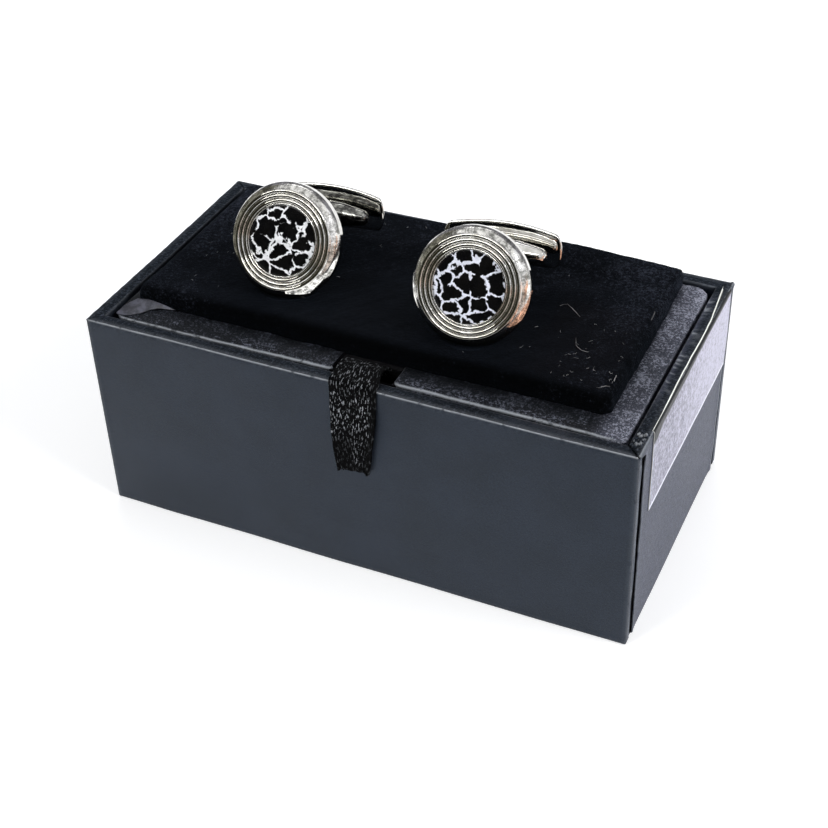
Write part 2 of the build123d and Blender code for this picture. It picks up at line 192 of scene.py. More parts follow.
def make_piece(name, points, faces, body, finishes, replaces=(), marks=None, merge=0.0, coats=None):
    """A smooth-shaded mesh from points in millimetres. marks holds a named value, or a vector, for
    each point, which its finish reads. coats says which of several finishes each face has."""
    points = np.asarray(points)
    piece = new_object(name, points * MM, faces, finishes)
    data = piece.data
    for label, values in (marks or {}).items():
        if np.ndim(values) == points.ndim:
            kind, field, shape = "FLOAT_VECTOR", "vector", points.shape
        else:
            kind, field, shape = "FLOAT", "value", points.shape[:-1]
        full = np.broadcast_to(np.asarray(values, np.float32), shape)
        data.attributes.new(label, kind, "POINT").data.foreach_set(field, full.ravel())
    data.polygons.foreach_set("use_smooth", np.ones(len(data.polygons), bool))
    if coats is not None:
        data.polygons.foreach_set("material_index", np.asarray(coats, np.int32))
    if merge:
        weld_points(piece, merge)
    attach(piece, body)
    if replaces:
        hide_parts(*replaces)
    return piece


def weld_points(piece, distance):
    """Joins points that lie within that distance in mm."""
    work = bmesh.new()
    work.from_mesh(piece.data)
    bmesh.ops.remove_doubles(work, verts=work.verts, dist=distance * MM)
    bmesh.ops.dissolve_degenerate(work, dist=1e-7, edges=work.edges)
    work.to_mesh(piece.data)
    work.free()


def thicken(piece, thickness, inward=True, rim=0):
    """Gives a sheet its thickness in mm. rim is the material slot of its cut edges."""
    solid = piece.modifiers.new("thickness", "SOLIDIFY")
    solid.thickness = thickness * MM
    solid.offset = -1 if inward else 1
    solid.material_offset_rim = rim


# ---------------------------------------------------------------- finishes
class Wire:
    """A socket whose + - and * add Math nodes to its tree."""

    def __init__(self, nodes, socket):
        self.nodes = nodes
        self.socket = socket

    def maths(self, operation, first, second):
        """A Math node on two values."""
        return self.nodes.node("Math", {0: first, 1: second}, operation=operation)

    def __add__(self, other):
        return self.maths("ADD", self, other)

    __radd__ = __add__

    def __sub__(self, other):
        return self.maths("SUBTRACT", self, other)

    def __rsub__(self, other):
        return self.maths("SUBTRACT", other, self)

    def __mul__(self, other):
        return self.maths("MULTIPLY", self, other)

    __rmul__ = __mul__


class Nodes:
    """The node tree of a material or of the world."""

    def __init__(self, owner):
        owner.use_nodes = True
        self.tree = owner.node_tree
        self.tree.nodes.clear()

    def feed(self, socket, value):
        """Links a Wire to a socket, or sets the socket to a number or colour."""
        if isinstance(value, Wire):
            self.tree.links.new(value.socket, socket)
        elif hasattr(value, "__len__") and len(value) == 3 and len(socket.default_value) == 4:
            socket.default_value = (*value, 1)
        else:
            socket.default_value = value

    def node(self, kind, values=None, out=0, **settings):
        """Adds a node: its settings first, then the values or links of its sockets."""
        made = self.tree.nodes.new("ShaderNode" + kind)
        for key, value in settings.items():
            setattr(made, key, value)
        for key, value in (values or {}).items():
            self.feed(made.inputs[key], value)
        return Wire(self, made.outputs[out])

    def end(self, kind, socket):
        """Leads a shader's socket to the tree's output."""
        output = self.tree.nodes.new("ShaderNodeOutput" + kind)
        self.tree.links.new(socket, output.inputs["Surface"])

    def tint(self, first, second, factor):
        """The first colour at factor 0 and the second at factor 1."""
        return self.node("Mix", {"Factor": factor, 6: first, 7: second}, out=2, data_type="RGBA")

    def ray(self, kind):
        """1 for light paths of that kind."""
        return self.node("LightPath", out=f"Is {kind} Ray")

    def shown(self):
        """1 for what the camera sees, in a reflection and through glass too."""
        every = self.ray("Camera") + self.ray("Glossy") + self.ray("Transmission")
        return self.node("Math", {0: every, 1: 1.0}, operation="MINIMUM")


class Finish(Nodes):
    """A procedural material on a Principled shader. Positions are the object's own, in mm."""

    def __init__(self, name, **fixed):
        self.material = bpy.data.materials.new(name)
        super().__init__(self.material)
        self.shader = self.tree.nodes.new("ShaderNodeBsdfPrincipled")
        self.place = None
        self.end("Material", self.shader.outputs[0])
        self.wear(**fixed)

    def wear(self, **parts):
        """Feeds the shader's sockets."""
        for socket, value in parts.items():
            self.feed(self.shader.inputs[socket.replace("_", " ")], value)
        return self.material

    def moved(self, place, scale=1.0, turn=(0, 0, 0), shift=(0, 0, 0)):
        """A place turned, scaled and shifted."""
        scales = scale if hasattr(scale, "__len__") else (scale,) * 3
        return self.node("Mapping", {"Vector": place, "Scale": scales, "Rotation": turn, "Location": shift})

    def spot(self, scale=(1, 1, 1), shift=(0, 0, 0)):
        """The point's position in mm, times scale."""
        if self.place is None:
            self.place = self.node("TexCoord", out="Object")
        return self.moved(self.place, [s / MM for s in scale], shift=shift)

    def noise(self, size, detail=3.0, rough=0.55, at=None, warp=0.0, out="Fac"):
        """Noise whose lumps are about that many mm across."""
        place = at if at is not None else self.spot()
        return self.node("TexNoise", {"Vector": place, "Scale": 1 / size, "Detail": detail,
                                      "Roughness": rough, "Distortion": warp}, out=out)

    def ramp(self, value, low, high, start=0.0, end=1.0):
        """start below low, end above high and an S curve in between."""
        return self.node("MapRange", {"Value": value, "From Min": low, "From Max": high,
                                      "To Min": start, "To Max": end}, interpolation_type="SMOOTHSTEP")

    def mark(self, label, out="Fac"):
        """A value that the mesh carries under that name."""
        return self.node("Attribute", out=out, attribute_name=label)

    def bump(self, height, depth):
        """Raises the surface by height times depth mm."""
        return self.node("Bump", {"Height": height, "Distance": depth * MM, "Strength": 1.0})

    def edge_wear_and_highlight(self):
        """Where the paper's marked folds and edges show wear and a painted highlight, with gaps."""
        return self.mark("worn") * self.ramp(self.noise(1.4, 3, 0.6), 0.32, 0.46, 0.3, 1.0)

    def push(self, place, size, detail, rough, reach):
        """A vector that points any way, about half of reach long, from noise of that size."""
        push = self.noise(size, detail, rough, at=place, out="Color")
        push = self.node("VectorMath", {0: push, 1: (0.5, 0.5, 0.5)}, operation="SUBTRACT")
        return self.node("VectorMath", {0: push, "Scale": reach}, operation="SCALE")

    def summed(self, first, second):
        """Two vectors added."""
        return self.node("VectorMath", {0: first, 1: second}, operation="ADD")


PAPER_BLACK = (0.0006, 0.0008, 0.0012)
# the fold lines' colour: partly wear, partly a painted highlight
PAPER_WEAR_AND_HIGHLIGHT = (0.41, 0.43, 0.46)


def covering_paper():
    """Black paper with a fine pressed grain, coarser where it is marked so, and paler and shinier along its
    marked folds, which is partly wear and partly a painted highlight. Where it is marked pale it is painted
    lighter, as lit from the right."""
    f = Finish("covering paper", IOR=1.5, Specular_IOR_Level=0.50, Specular_Tint=(0.60, 0.76, 1.0))
    grain = f.noise(0.24, 5, 0.8)
    cloud = f.noise(7.0, 3, 0.5)
    blotch = f.ramp(f.noise(0.8, 4, 0.75), 0.36, 0.66)
    coarse = f.mark("coarse")
    fleck = f.ramp(f.noise(0.42, 4, 0.75), 0.52, 0.62) * coarse
    edge_wear_and_highlight = f.edge_wear_and_highlight()
    mottle = f.ramp(cloud * 0.6 + (grain - 0.5) * 1.9 + 0.2, 0.3, 0.7)
    base = f.tint((0.0008, 0.0012, 0.0028), (0.0082, 0.0108, 0.0185), mottle)
    # painted light: where marked pale, the paper is painted lighter, as the right end is lit
    base = f.tint(base, f.tint((0.020, 0.021, 0.036), (0.065, 0.067, 0.106), blotch), f.mark("pale"))
    base = f.tint(base, PAPER_BLACK, coarse)
    base = f.tint(base, (0.042, 0.048, 0.063), fleck)
    # wear and a painted highlight on the marked folds
    base = f.tint(base, PAPER_WEAR_AND_HIGHLIGHT, edge_wear_and_highlight)
    rough = f.ramp(grain, 0.3, 0.7, 0.36, 0.50) + coarse * 0.14 - edge_wear_and_highlight * 0.22
    height = grain * 1.3 + f.noise(0.5, 3) * (coarse * 3.6 + 0.4)
    return f.wear(Base_Color=base, Roughness=rough, Metallic=coarse * 0.6, Normal=f.bump(height, 0.045))


def border_paper():
    """The insert's paper, whose grain is coarser and sparkles a little. Its right part is painted paler as
    lit from the right, it is painted darker next to the pad as shade, and its front edge has a painted
    highlight line.
    """
    f = Finish("insert paper", IOR=1.5, Specular_IOR_Level=0.22, Specular_Tint=(0.78, 0.87, 1.0))
    grain = f.noise(0.22, 5, 0.8)
    lump = f.noise(0.36, 3, 0.8)
    cloud = f.noise(4.0, 3, 0.5)
    pale = f.mark("pale")
    edge_wear_and_highlight = f.edge_wear_and_highlight()
    fleck = f.ramp(grain * 0.45 + lump * 0.55 + (cloud - 0.5) * 0.25 + pale * 0.03, 0.52, 0.58)
    # pale paints the right border lighter: painted light from the right
    base = f.tint((0.0008, 0.0012, 0.0024), (0.052, 0.055, 0.077), pale)
    base = f.tint(base, f.tint((0.125, 0.134, 0.170), (0.33, 0.34, 0.41), pale), fleck)
    # shade paints the front border darker next to the pad: painted shade
    base = f.tint(base, PAPER_BLACK, f.mark("shade") * f.ramp(cloud, 0.35, 0.65, 1.0, 0.7))
    # wear and a painted highlight on the front edge
    base = f.tint(base, PAPER_WEAR_AND_HIGHLIGHT, edge_wear_and_highlight)
    rough = f.ramp(grain, 0.3, 0.7, 0.50, 0.34) - edge_wear_and_highlight * 0.18
    return f.wear(Base_Color=base, Roughness=rough, Normal=f.bump(grain * 0.6 + lump * 1.2, 0.10))


def painted_recess_shade():
    """The paper deep in a joint or in the ribbon's notch, painted near black for the shade there, which no
    light reaches.
    """
    f = Finish("joint", Specular_IOR_Level=0.03)
    base = f.tint((0.0005, 0.0005, 0.0007), (0.002, 0.002, 0.003), f.noise(0.5))
    return f.wear(Base_Color=base, Roughness=0.9)


def satin_fold():
    """The smooth side of the paper, where it is folded back."""
    f = Finish("folded satin paper")
    base = f.tint((0.015, 0.016, 0.024), (0.064, 0.066, 0.089), f.ramp(f.noise(1.1, 3), 0.35, 0.65))
    return f.wear(Base_Color=base, Roughness=0.42, Normal=f.bump(f.noise(0.3, 3), 0.006))


def strip_paper():
    """The strip's satin face, mottled and faintly streaked down it, black where it is folded over the rim.
    Its pale colour is painted light, standing for a band lit brightly from the right, and a painted
    brightening runs towards the rear."""
    f = Finish("end strip", Specular_IOR_Level=0.45)
    streak = f.noise(1.0, 4, 0.6, at=f.spot(scale=(1.0, 0.9, 0.22)))
    fleck = f.noise(0.50, 4, 0.85)
    # far paints the strip brighter towards the rear: painted light
    shade = f.ramp(streak * 0.30 + fleck * 1.2 + f.mark("far") * 0.16, 0.58, 0.98)
    base = f.tint((0.13, 0.13, 0.18), (0.60, 0.59, 0.72), shade)
    base = f.tint(base, (0.86, 0.86, 0.97), f.mark("hem"))
    base = f.tint(base, (0.008, 0.009, 0.011), f.mark("top"))
    base = f.tint(base, (0.93, 0.94, 0.88), f.mark("bare"))
    return f.wear(Base_Color=base, Roughness=f.ramp(fleck, 0.3, 0.7, 0.40, 0.55), Normal=f.bump(fleck, 0.022))


def bare_core():
    """The paper's white core, at a cut edge."""
    f = Finish("cut paper edge")
    return f.wear(Base_Color=f.tint((0.6, 0.6, 0.58), (0.85, 0.85, 0.8), f.noise(0.3, 3)), Roughness=0.8)


def board_finish(name, dark, pale):
    """Pressed board: short fibres in two shades."""
    f = Finish(name, Specular_IOR_Level=0.06)
    fibre = f.noise(0.5, 5, 0.7, at=f.spot(scale=(0.4, 1.0, 1.6)))
    base = f.tint(dark, pale, f.ramp(fibre, 0.35, 0.7))
    return f.wear(Base_Color=base, Roughness=0.85, Normal=f.bump(fibre, 0.02))


def velvet_finish():
    """Black cut pile: nearly no gloss, a faint sheen at a slant, and lighter brushed patches and specks,
    painted more and lighter where the mesh marks it lit, which is a painted sheen.
    """
    f = Finish("velvet", Specular_IOR_Level=0.02, Sheen_Weight=0.045, Sheen_Roughness=0.5,
               Sheen_Tint=(0.38, 0.50, 0.74))
    pile = f.noise(0.42, 5, 0.9)
    brushed = f.noise(5.0, 4, 0.65, warp=0.8)
    lit = f.mark("lit")
    patch = f.ramp(brushed * 0.5 + pile * 1.5 + lit * 0.28, 1.14, 1.54)
    base = f.tint((0.0001, 0.0002, 0.0001), (0.0330, 0.0375, 0.0520), patch)
    # the specks are painted lighter where marked lit: a painted sheen
    speck = f.ramp(f.noise(0.45, 3, 0.6), 0.62, 0.72) * (lit * 0.75 + 0.05)
    base = f.tint(base, (0.030, 0.034, 0.042), speck)
    return f.wear(Base_Color=base, Roughness=0.95, Normal=f.bump(pile, 0.16))


def lint_finish():
    """Pale fibres, some greyer than others."""
    f = Finish("lint")
    base = f.tint((0.05, 0.05, 0.055), (0.40, 0.40, 0.41), f.ramp(f.noise(2.0), 0.35, 0.65))
    return f.wear(Base_Color=base, Roughness=0.9)


def ribbon_finish():
    """Black satin ribbon: short floats of thread whose glints are painted pale along its length where marked
    sheen, over matte ones.
    """
    f = Finish("ribbon", Specular_IOR_Level=0.04)
    thread = f.moved(f.mark("weave", out="Vector"), 1 / MM)
    floats = f.noise(1.25, 3, 0.6, at=f.moved(thread, (6.2, 1.5, 1), turn=(0, 0, 0.22)))
    patch = f.ramp(f.noise(2.0, 2, 0.5, at=thread), 0.30, 0.60, 0.45, 1.0)
    # painted highlight: the glinting floats get a pale base colour
    lit = f.mark("sheen") * f.ramp(floats, 0.56, 0.63) * patch
    base = f.tint((0.0004, 0.0005, 0.0007), (0.62, 0.65, 0.70), lit)
    return f.wear(Base_Color=base, Roughness=f.ramp(lit, 0, 1, 0.7, 0.34), Metallic=lit * 0.35,
                  Normal=f.bump(floats, 0.12))


def chrome_finish():
    """Bright plating over a polished casting: a few soft stains and hairlines; a darker olive on the flat
    tops that are marked band, which is a painted reflection; and satin and streaked where it is marked so:
    the brushing is real, its dark and light streak colours are a painted reflection."""
    f = Finish("polished plating", Metallic=1.0)
    stain = f.noise(1.6, 3, 0.6)
    hair = f.noise(0.12, 3, 0.6, at=f.spot(scale=(1.0, 0.25, 1.0)))
    satin = f.mark("satin")
    streak = f.noise(0.2, 4, 0.6, at=f.mark("way", out="Vector")) * 0.5 + f.noise(0.8, 4, 0.65) * 0.5
    base = f.tint((0.56, 0.55, 0.52), (0.76, 0.755, 0.73), f.ramp(stain, 0.35, 0.65))
    # painted reflection: a darker olive on the bead tops
    base = f.tint(base, (0.36, 0.352, 0.315), f.mark("band") * f.ramp(stain, 0.3, 0.6, 0.95, 0.55))
    # the streak colours are a painted reflection over real brushing
    brushed = f.tint((0.20, 0.20, 0.185), (0.90, 0.89, 0.86), f.ramp(streak, 0.38, 0.60))
    base = f.tint(base, brushed, satin)
    rough = f.ramp(hair + (stain - 0.5) * 0.5, 0.35, 0.75, 0.035, 0.09)
    rough = rough + satin * f.ramp(streak, 0.38, 0.60, 0.18, 0.04)
    height = f.noise(0.9, 2) * 0.004 + satin * streak * 0.06
    return f.wear(Base_Color=base, Roughness=rough, Normal=f.bump(height, 1.0))


def shaded_plating_finish():
    """The same plating, painted dark and a little rougher: a shaded copy, for a barrel that shows only dark
    reflections.
    """
    f = Finish("shade_dark plating", Metallic=1.0)
    stain = f.noise(1.1, 3, 0.6)
    base = f.tint((0.05, 0.05, 0.048), (0.30, 0.30, 0.28), f.ramp(stain, 0.40, 0.62))
    return f.wear(Base_Color=base, Roughness=f.ramp(stain, 0.3, 0.7, 0.12, 0.22), Normal=f.bump(stain, 0.003))


def steel_finish():
    """Plain spring steel."""
    f = Finish("spring steel", Metallic=1.0)
    return f.wear(Base_Color=(0.4, 0.4, 0.41), Roughness=f.ramp(f.noise(0.2), 0.3, 0.7, 0.25, 0.4))


def stone_finish(name, shift, vein_colour):
    """Polished black stone with branching white veins: the walls of warped cells, a little
    thicker in some places and missing in a few."""
    f = Finish(name, Specular_IOR_Level=0.5)
    place = f.spot(shift=shift)
    warped = f.summed(place, f.push(place, 4 / 3, 3, 0.6, 1.4))
    warped = f.summed(warped, f.push(place, 5 / 12, 2, 0.5, 0.30))
    wall = f.node("TexVoronoi", {"Vector": warped, "Scale": 0.42, "Randomness": 0.9}, out="Distance",
                  feature="DISTANCE_TO_EDGE")
    width = f.ramp(f.noise(2.4, 1, at=place), 0.36, 0.44, -0.018, 0.050)
    width = width + f.ramp(f.noise(0.9, 2, at=place), 0.4, 0.7, 0.0, 0.022)
    vein = f.ramp(wall - width, -0.014, 0.014, 1.0, 0.0)
    cloud = f.noise(0.8, 3, at=place)
    black = f.tint((0.0010, 0.0010, 0.0012), (0.004, 0.004, 0.005), cloud)
    white = f.tint(tuple(0.85 * c for c in vein_colour), vein_colour, f.ramp(cloud, 0.35, 0.6))
    return f.wear(Base_Color=f.tint(black, white, vein), Roughness=0.10)


FINISHES = {
    "paper": covering_paper(),
    "border": border_paper(),
    "painted_recess_shade": painted_recess_shade(),
    "fold": satin_fold(),
    "strip": strip_paper(),
    "core": bare_core(),
    "greyboard": board_finish("greyboard", (0.22, 0.20, 0.17), (0.40, 0.38, 0.34)),
    "tape": board_finish("paper tape", (0.34, 0.26, 0.16), (0.48, 0.38, 0.25)),
    "card": board_finish("black card", (0.002, 0.002, 0.0025), (0.008, 0.008, 0.009)),
    "foam": board_finish("foam", (0.012, 0.012, 0.013), (0.03, 0.03, 0.03)),
    "velvet": velvet_finish(),
    "lint": lint_finish(),
    "ribbon": ribbon_finish(),
    "chrome": chrome_finish(),
    "shaded_plating": shaded_plating_finish(),
    "steel": steel_finish(),
    "left_stone": stone_finish("left stone", (5.4, -2.2, 1.3), (0.98, 0.985, 1.0)),
    "right_stone": stone_finish("right stone", (-7.0, 9.0, 4.0), (0.88, 0.90, 1.0)),
}


def finished(*kinds):
    """The finishes of those names."""
    return [FINISHES[kind] for kind in kinds]


def coat(node, kind):
    """Gives a kept node its finish."""
    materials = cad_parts[node].data.materials
    materials.clear()
    materials.append(FINISHES[kind])


# ---------------------------------------------------------------- tray papers
def wall_profile():
    """A tray wall's paper from its bottom edge, up the outside, over the rim and down inside, as
    (distance in from the outer face, height) pairs with rounded folds."""
    return bent([(EDGE, 0.0), (0.0, 0.0), (0.0, HEIGHT), (WALL, HEIGHT), (WALL, HEIGHT - TURN_IN)],
                [0.3, EDGE, 0.3], step=0.55)


def lip_plan():
    """A long paper's line from above: from the joint on one end, round the corner, along the wall
    and round to the joint on the other end."""
    sunk = HALF_LENGTH - JOINT_DEPTH
    left = [(-sunk, FLAP_END - 0.8), (-sunk, LIP_END - 0.06),
            (-HALF_LENGTH, LIP_END), (-HALF_LENGTH, HALF_WIDTH)]
    right = [(-x, y) for x, y in reversed(left)]
    return bent(left + right, [0.03, 0.12, EDGE, EDGE, 0.12, 0.03], step=0.5)


def mitre(inset):
    """How far the rim's mitred end stays short of the corner, at that distance in from the outer
    face: the same distance, but never sharper than the tray's rounded upright edge."""
    return np.sqrt(inset**2 + (EDGE * np.clip(1 - inset / 0.3, 0, 1)) ** 2)


def fold_wear_and_highlight(inset, height):
    """Where the paper is folded over the rim's outer and inner edge: wear, and a painted highlight along the
    fold.
    """
    outer = hump(inset, 0.11, 0.09) * smooth(HEIGHT - 0.3, HEIGHT - 0.08, height)
    inner = hump(inset, WALL - 0.1, 0.10) * smooth(HEIGHT - 0.6, HEIGHT - 0.1, height)
    return outer + 0.22 * inner


def dress_long_wall(side, name, replaced, seed):
    """The paper of the front or back wall. Outside, wall_profile is carried along lip_plan, so
    that it wraps both corners. Over the rim and down inside, the profile's rest is carried
    between the mitred corners. Both bow with the same ripples."""
    profile = wall_profile()
    top_row = int(np.argmin(np.abs(profile[:, 1] - (HEIGHT - EDGE)) + 9 * (profile[:, 0] > 0.05)))
    outside, rim = profile[: top_row + 1], profile[top_row:]
    plan = lip_plan()
    inward = normals_of(np.gradient(plan, axis=0))
    depth, height = outside[:, :1], outside[:, 1:]
    outer = points_at(plan[:, 0] + depth * inward[:, 0], plan[:, 1] + depth * inward[:, 1], height)
    off_corner = smooth(0, STIFF, HALF_LENGTH - np.abs(outer[..., 0]))
    bow = -0.06 + ripple(outer, 26, seed) * 0.06 + ripple(outer, 7, seed + 1) * 0.015
    outer[..., 1] -= bow * off_corner * (outer[..., 1] > LIP_END)
    # the lip's cut end wavers, and draws back under the rim
    turned_round = smooth(HALF_WIDTH - 0.5, HALF_WIDTH - 1.1, outer[..., 1])
    drawn_back = 0.35 * smooth(29.0, 30.6, outer[..., 2])
    outer[..., 1] += turned_round * (ripple(outer * (0, 0, 1), 6, seed + 2) * 0.20 + drawn_back)

    straight = (np.abs(plan[:, 0]) <= HALF_LENGTH - EDGE + 1e-6) & (plan[:, 1] > HALF_WIDTH - 1e-6)
    share = plan[straight, 0] / (HALF_LENGTH - EDGE)
    inset, height = rim[:, :1], rim[:, 1:]
    over = points_at(share * (HALF_LENGTH - mitre(inset)), HALF_WIDTH - inset, height)
    flat_part = smooth(HEIGHT - EDGE, HEIGHT, height) * smooth(0.0, EDGE, inset)
    off_corner = smooth(0, STIFF, HALF_LENGTH - np.abs(over[..., 0]))
    over[..., 1] -= bow[-1, straight] * off_corner * smooth(1.8, 0.3, inset)
    over[..., 2] += flat_part * (ripple(over, 9, seed + 3) * 0.05 + ripple(over, 1.6, seed + 4) * 0.02 - 0.03)

    outer_faces = grid_faces(outer)
    faces = np.concatenate([outer_faces, grid_faces(over) + outer[..., 0].size])
    points = np.concatenate([outer.reshape(-1, 3), over.reshape(-1, 3)])
    x, y, z = points[faces].mean(1).T
    # the faces deep in the joint get the painted recess shade
    in_joint = (np.abs(x) < HALF_LENGTH - 0.04) & (np.abs(y) < LIP_END + 0.1) & (z < HEIGHT - 0.6)
    in_joint &= np.arange(len(faces)) < len(outer_faces)
    x, y = np.abs(outer[..., 0]), outer[..., 1]
    # the corner and the lip's cut end get wear with a painted highlight
    corner = hump(x, HALF_LENGTH - 0.13, 0.12) * (y > HALF_WIDTH - 0.6)
    cut = hump(y, LIP_END + 0.12, 0.12) * (x > HALF_LENGTH - 0.1)
    rim_wear_and_highlight = np.broadcast_to(fold_wear_and_highlight(inset, height), over.shape[:2])
    worn = np.concatenate([(0.12 * corner + 0.3 * cut).ravel(), rim_wear_and_highlight.ravel()])
    x, y, z = points.T
    on_end = smooth(0.1, 0.02, HALF_LENGTH - np.abs(x)) * smooth(0.2, 0.5, HALF_WIDTH - y)
    coarse = np.clip(smooth(HEIGHT - 0.15, HEIGHT, z) + 0.6 * on_end, 0, 1)
    # pale paints the right end's lip lighter: painted light, as the right end is lit
    marks = {"worn": worn, "coarse": coarse, "pale": 0.8 * on_end * (x > 0)}
    points[:, 1] *= side
    if side > 0:
        faces = faces[:, ::-1]
    piece = make_piece(name, points, faces, "tray", finished("paper", "painted_recess_shade"), [replaced],
                       marks, merge=0.004, coats=in_joint)
    thicken(piece, PAPER)


def dress_end_wall(side, name, replaced, seed):
    """The paper of an end wall: wall_profile carried along y between the lips, with small ears over them at
    the rim's mitred corners. The right end's rim is doubled and wrinkled, and that end's face and wrinkles
    are painted paler, as lit from the right."""
    profile = wall_profile()
    inset, height = profile[:, :1], profile[:, 1:]
    share = np.linspace(-1, 1, 121)[None, :]
    on_ear = smooth(HEIGHT - 1.15, HEIGHT - EDGE, height)
    waver = 0.22 * ripple(points_at(0.0, 3 * np.sign(share), height), 6, seed + 1)
    reach = FLAP_END + (HALF_WIDTH - EDGE - FLAP_END) * on_ear
    reach = reach + (waver - 0.4 * smooth(29.2, 30.6, height)) * (1 - on_ear)
    reach = np.where(inset > 0.6, HALF_WIDTH - mitre(inset), reach)
    points = points_at(HALF_LENGTH - inset + 0.05 * smooth(1.6, 0.4, inset), share * reach, height)
    y = points[..., 1]
    bow = 0.05 + ripple(points, 18, seed) * 0.06
    points[..., 0] -= bow * smooth(0, 2.5, FLAP_END - np.abs(y)) * smooth(1.8, 0.3, inset)
    # the free edges stand up a little
    points[..., 0] += 0.08 * smooth(0.965, 1.0, np.abs(share)) * (inset < 0.1)
    lifted = smooth(HEIGHT - EDGE, HEIGHT, height)
    uneven = ripple(points, 8, seed + 3) * 0.05 + ripple(points, 1.4, seed + 4) * 0.035 + 0.02
    points[..., 2] += lifted * uneven
    # wear, with a painted highlight, on the folds and along the free edges
    worn = 0.6 * fold_wear_and_highlight(inset, height) + 0.30 * smooth(0.975, 1.0, np.abs(share)) * (height < HEIGHT - 1)
    coarse = 0.12 + 0.88 * smooth(HEIGHT - 0.3, HEIGHT, height)
    pale = 0.0
    if side > 0:
        # the rim's outer half is doubled, and its corners are tucked up
        doubled = smooth(1.15, 0.95, inset + 0.12 * ripple(points * (0, 1, 0), 9, 43))
        tucked = 0.16 * smooth(-17.6, -18.4, y) + 0.10 * smooth(18.3, 19.0, y)
        points[..., 2] += lifted * (0.09 * doubled + tucked)
        # the turned-in paper is wrinkled along the rim's inner half
        wrinkled = lifted * smooth(0.9, 1.3, inset) * smooth(-14.0, -6.0, y) * smooth(18.5, 15.0, y)
        points[..., 2] += 0.13 * wrinkled * ripple(points * (0.3, 1, 0), 1.0, 47)
        # the wrinkles' crests get wear with a painted highlight
        worn = worn + 0.75 * wrinkled * smooth(0.2, 0.8, ripple(points * (1, 1, 0), 0.6, 48))
        coarse = coarse * (1 - 0.75 * wrinkled)
        # painted light: the end's face and the wrinkles are marked pale, as lit from the right
        pale = np.maximum(smooth(HEIGHT - 0.4, HEIGHT - 0.8, height) * (inset < 0.2), 0.9 * wrinkled)
    points[..., 0] *= side
    faces = grid_faces(points)
    if side < 0:
        faces = faces[:, ::-1]
    piece = make_piece(name, points, faces, "tray", finished("paper"), [replaced],
                       {"worn": worn, "coarse": coarse, "pale": pale})
    thicken(piece, PAPER)


def dress_strip():
    """The strip on the right end: a sheet carried from its lower edge up the end, round the rim's
    outer edge, and inwards to its raw edge, which curls up a little."""
    radius = 0.26
    top = HEIGHT - 0.16
    fold = STRIP_FACE - radius
    u = np.linspace(0, 1, 160)
    y = STRIP_FRONT + (STRIP_REAR - STRIP_FRONT) * u
    rise = np.linspace(0, 1, 60)[:, None]
    turn = np.linspace(0, np.pi / 2, 8)[1:, None]
    inward = np.linspace(0, 1, 12)[1:, None]
    raw_edge = np.interp(y, [-15.6, -12.5, -8.0, -3.5, 5.0, 10.0, 13.0, 16.0, 19.5],
                         [40.02, 39.86, 39.70, 39.62, 39.67, 39.60, 39.40, 39.18, 38.85])
    raw_edge = np.minimum(raw_edge + 0.035 * ripple(points_at(y, y, y), 4, 6), fold - 0.04)
    wall = points_at(STRIP_FACE, y, STRIP_LOW + (top - STRIP_LOW) * rise)
    over = points_at(fold + radius * np.cos(turn), y, top + radius * np.sin(turn))
    flat = points_at(fold + (raw_edge - fold) * inward, y, top + radius)
    from_edge = flat[..., 0] - raw_edge
    curl = 0.14 * smooth(0.35, 0.0, from_edge)
    flat[..., 2] += curl + 0.05 * ripple(flat, 3, 10) * smooth(fold, 39.4, flat[..., 0])
    points = np.concatenate([wall, over, flat])
    points[..., 0] += ripple(points, 9, 5) * 0.03 * (points[..., 2] < HEIGHT - 1)
    points[..., 1] += ripple(points * (0, 0, 1), 6, 8) * 0.06 * smooth(0.03, 0.0, u)
    z = points[..., 2]
    fold_line = 31.5 - 0.55 * smooth(8.0, -10.0, y) - 0.9 * smooth(-11.5, -14.5, y)
    fold_line = fold_line + 0.10 * ripple(points_at(y, y, y), 4, 9)
    bare = np.zeros(z.shape)
    bare[-len(flat):] = smooth(0.19, 0.13, from_edge)
    marks = {
        "bare": bare,
        "top": smooth(-0.10, 0.10, z - fold_line),
        # painted brightening towards the rear
        "far": smooth(-12.0, 18.0, points[..., 1]),
        "hem": smooth(0.62, 0.34, z - STRIP_LOW) + 0.5 * smooth(0.012, 0.0, u),
    }
    piece = make_piece("end_strip", points, grid_faces(points), "tray", finished("strip", "core"),
                       ["right_end_strip"], marks)
    thicken(piece, THIN_PAPER, rim=1)


def dress_tuck():
    """The crumpled end of the rim's paper at the front right corner: a small dark scrap whose
    height is a sum of sharp ripples, turned down at its edges."""
    a, b = np.meshgrid(np.linspace(0, 1, 46), np.linspace(0, 1, 60), indexing="ij")
    points = points_at(38.15 + 1.75 * a + 0.10 * np.sin(9 * b), -20.45 + 4.6 * b + 0.12 * np.sin(7 * a), 0.0)
    crumple = np.abs(ripple(points, 1.3, 91)) + 0.6 * np.abs(ripple(points, 0.6, 92))
    off_edge = smooth(0, 0.16, np.minimum(np.minimum(a, 1 - a), np.minimum(b, 1 - b)))
    points[..., 2] = HEIGHT - 0.12 + off_edge * (0.22 + 0.42 * crumple)
    # wear with a painted highlight on the crumple's crests and a spot at its rear
    worn = 0.6 * (off_edge * smooth(0.55, 1.0, crumple) + hump(a, 0.45, 0.07) * hump(b, 0.93, 0.05))
    make_piece("rim_tuck", points, grid_faces(points)[:, ::-1], "tray", finished("paper"),
               marks={"worn": worn, "coarse": 1.0})


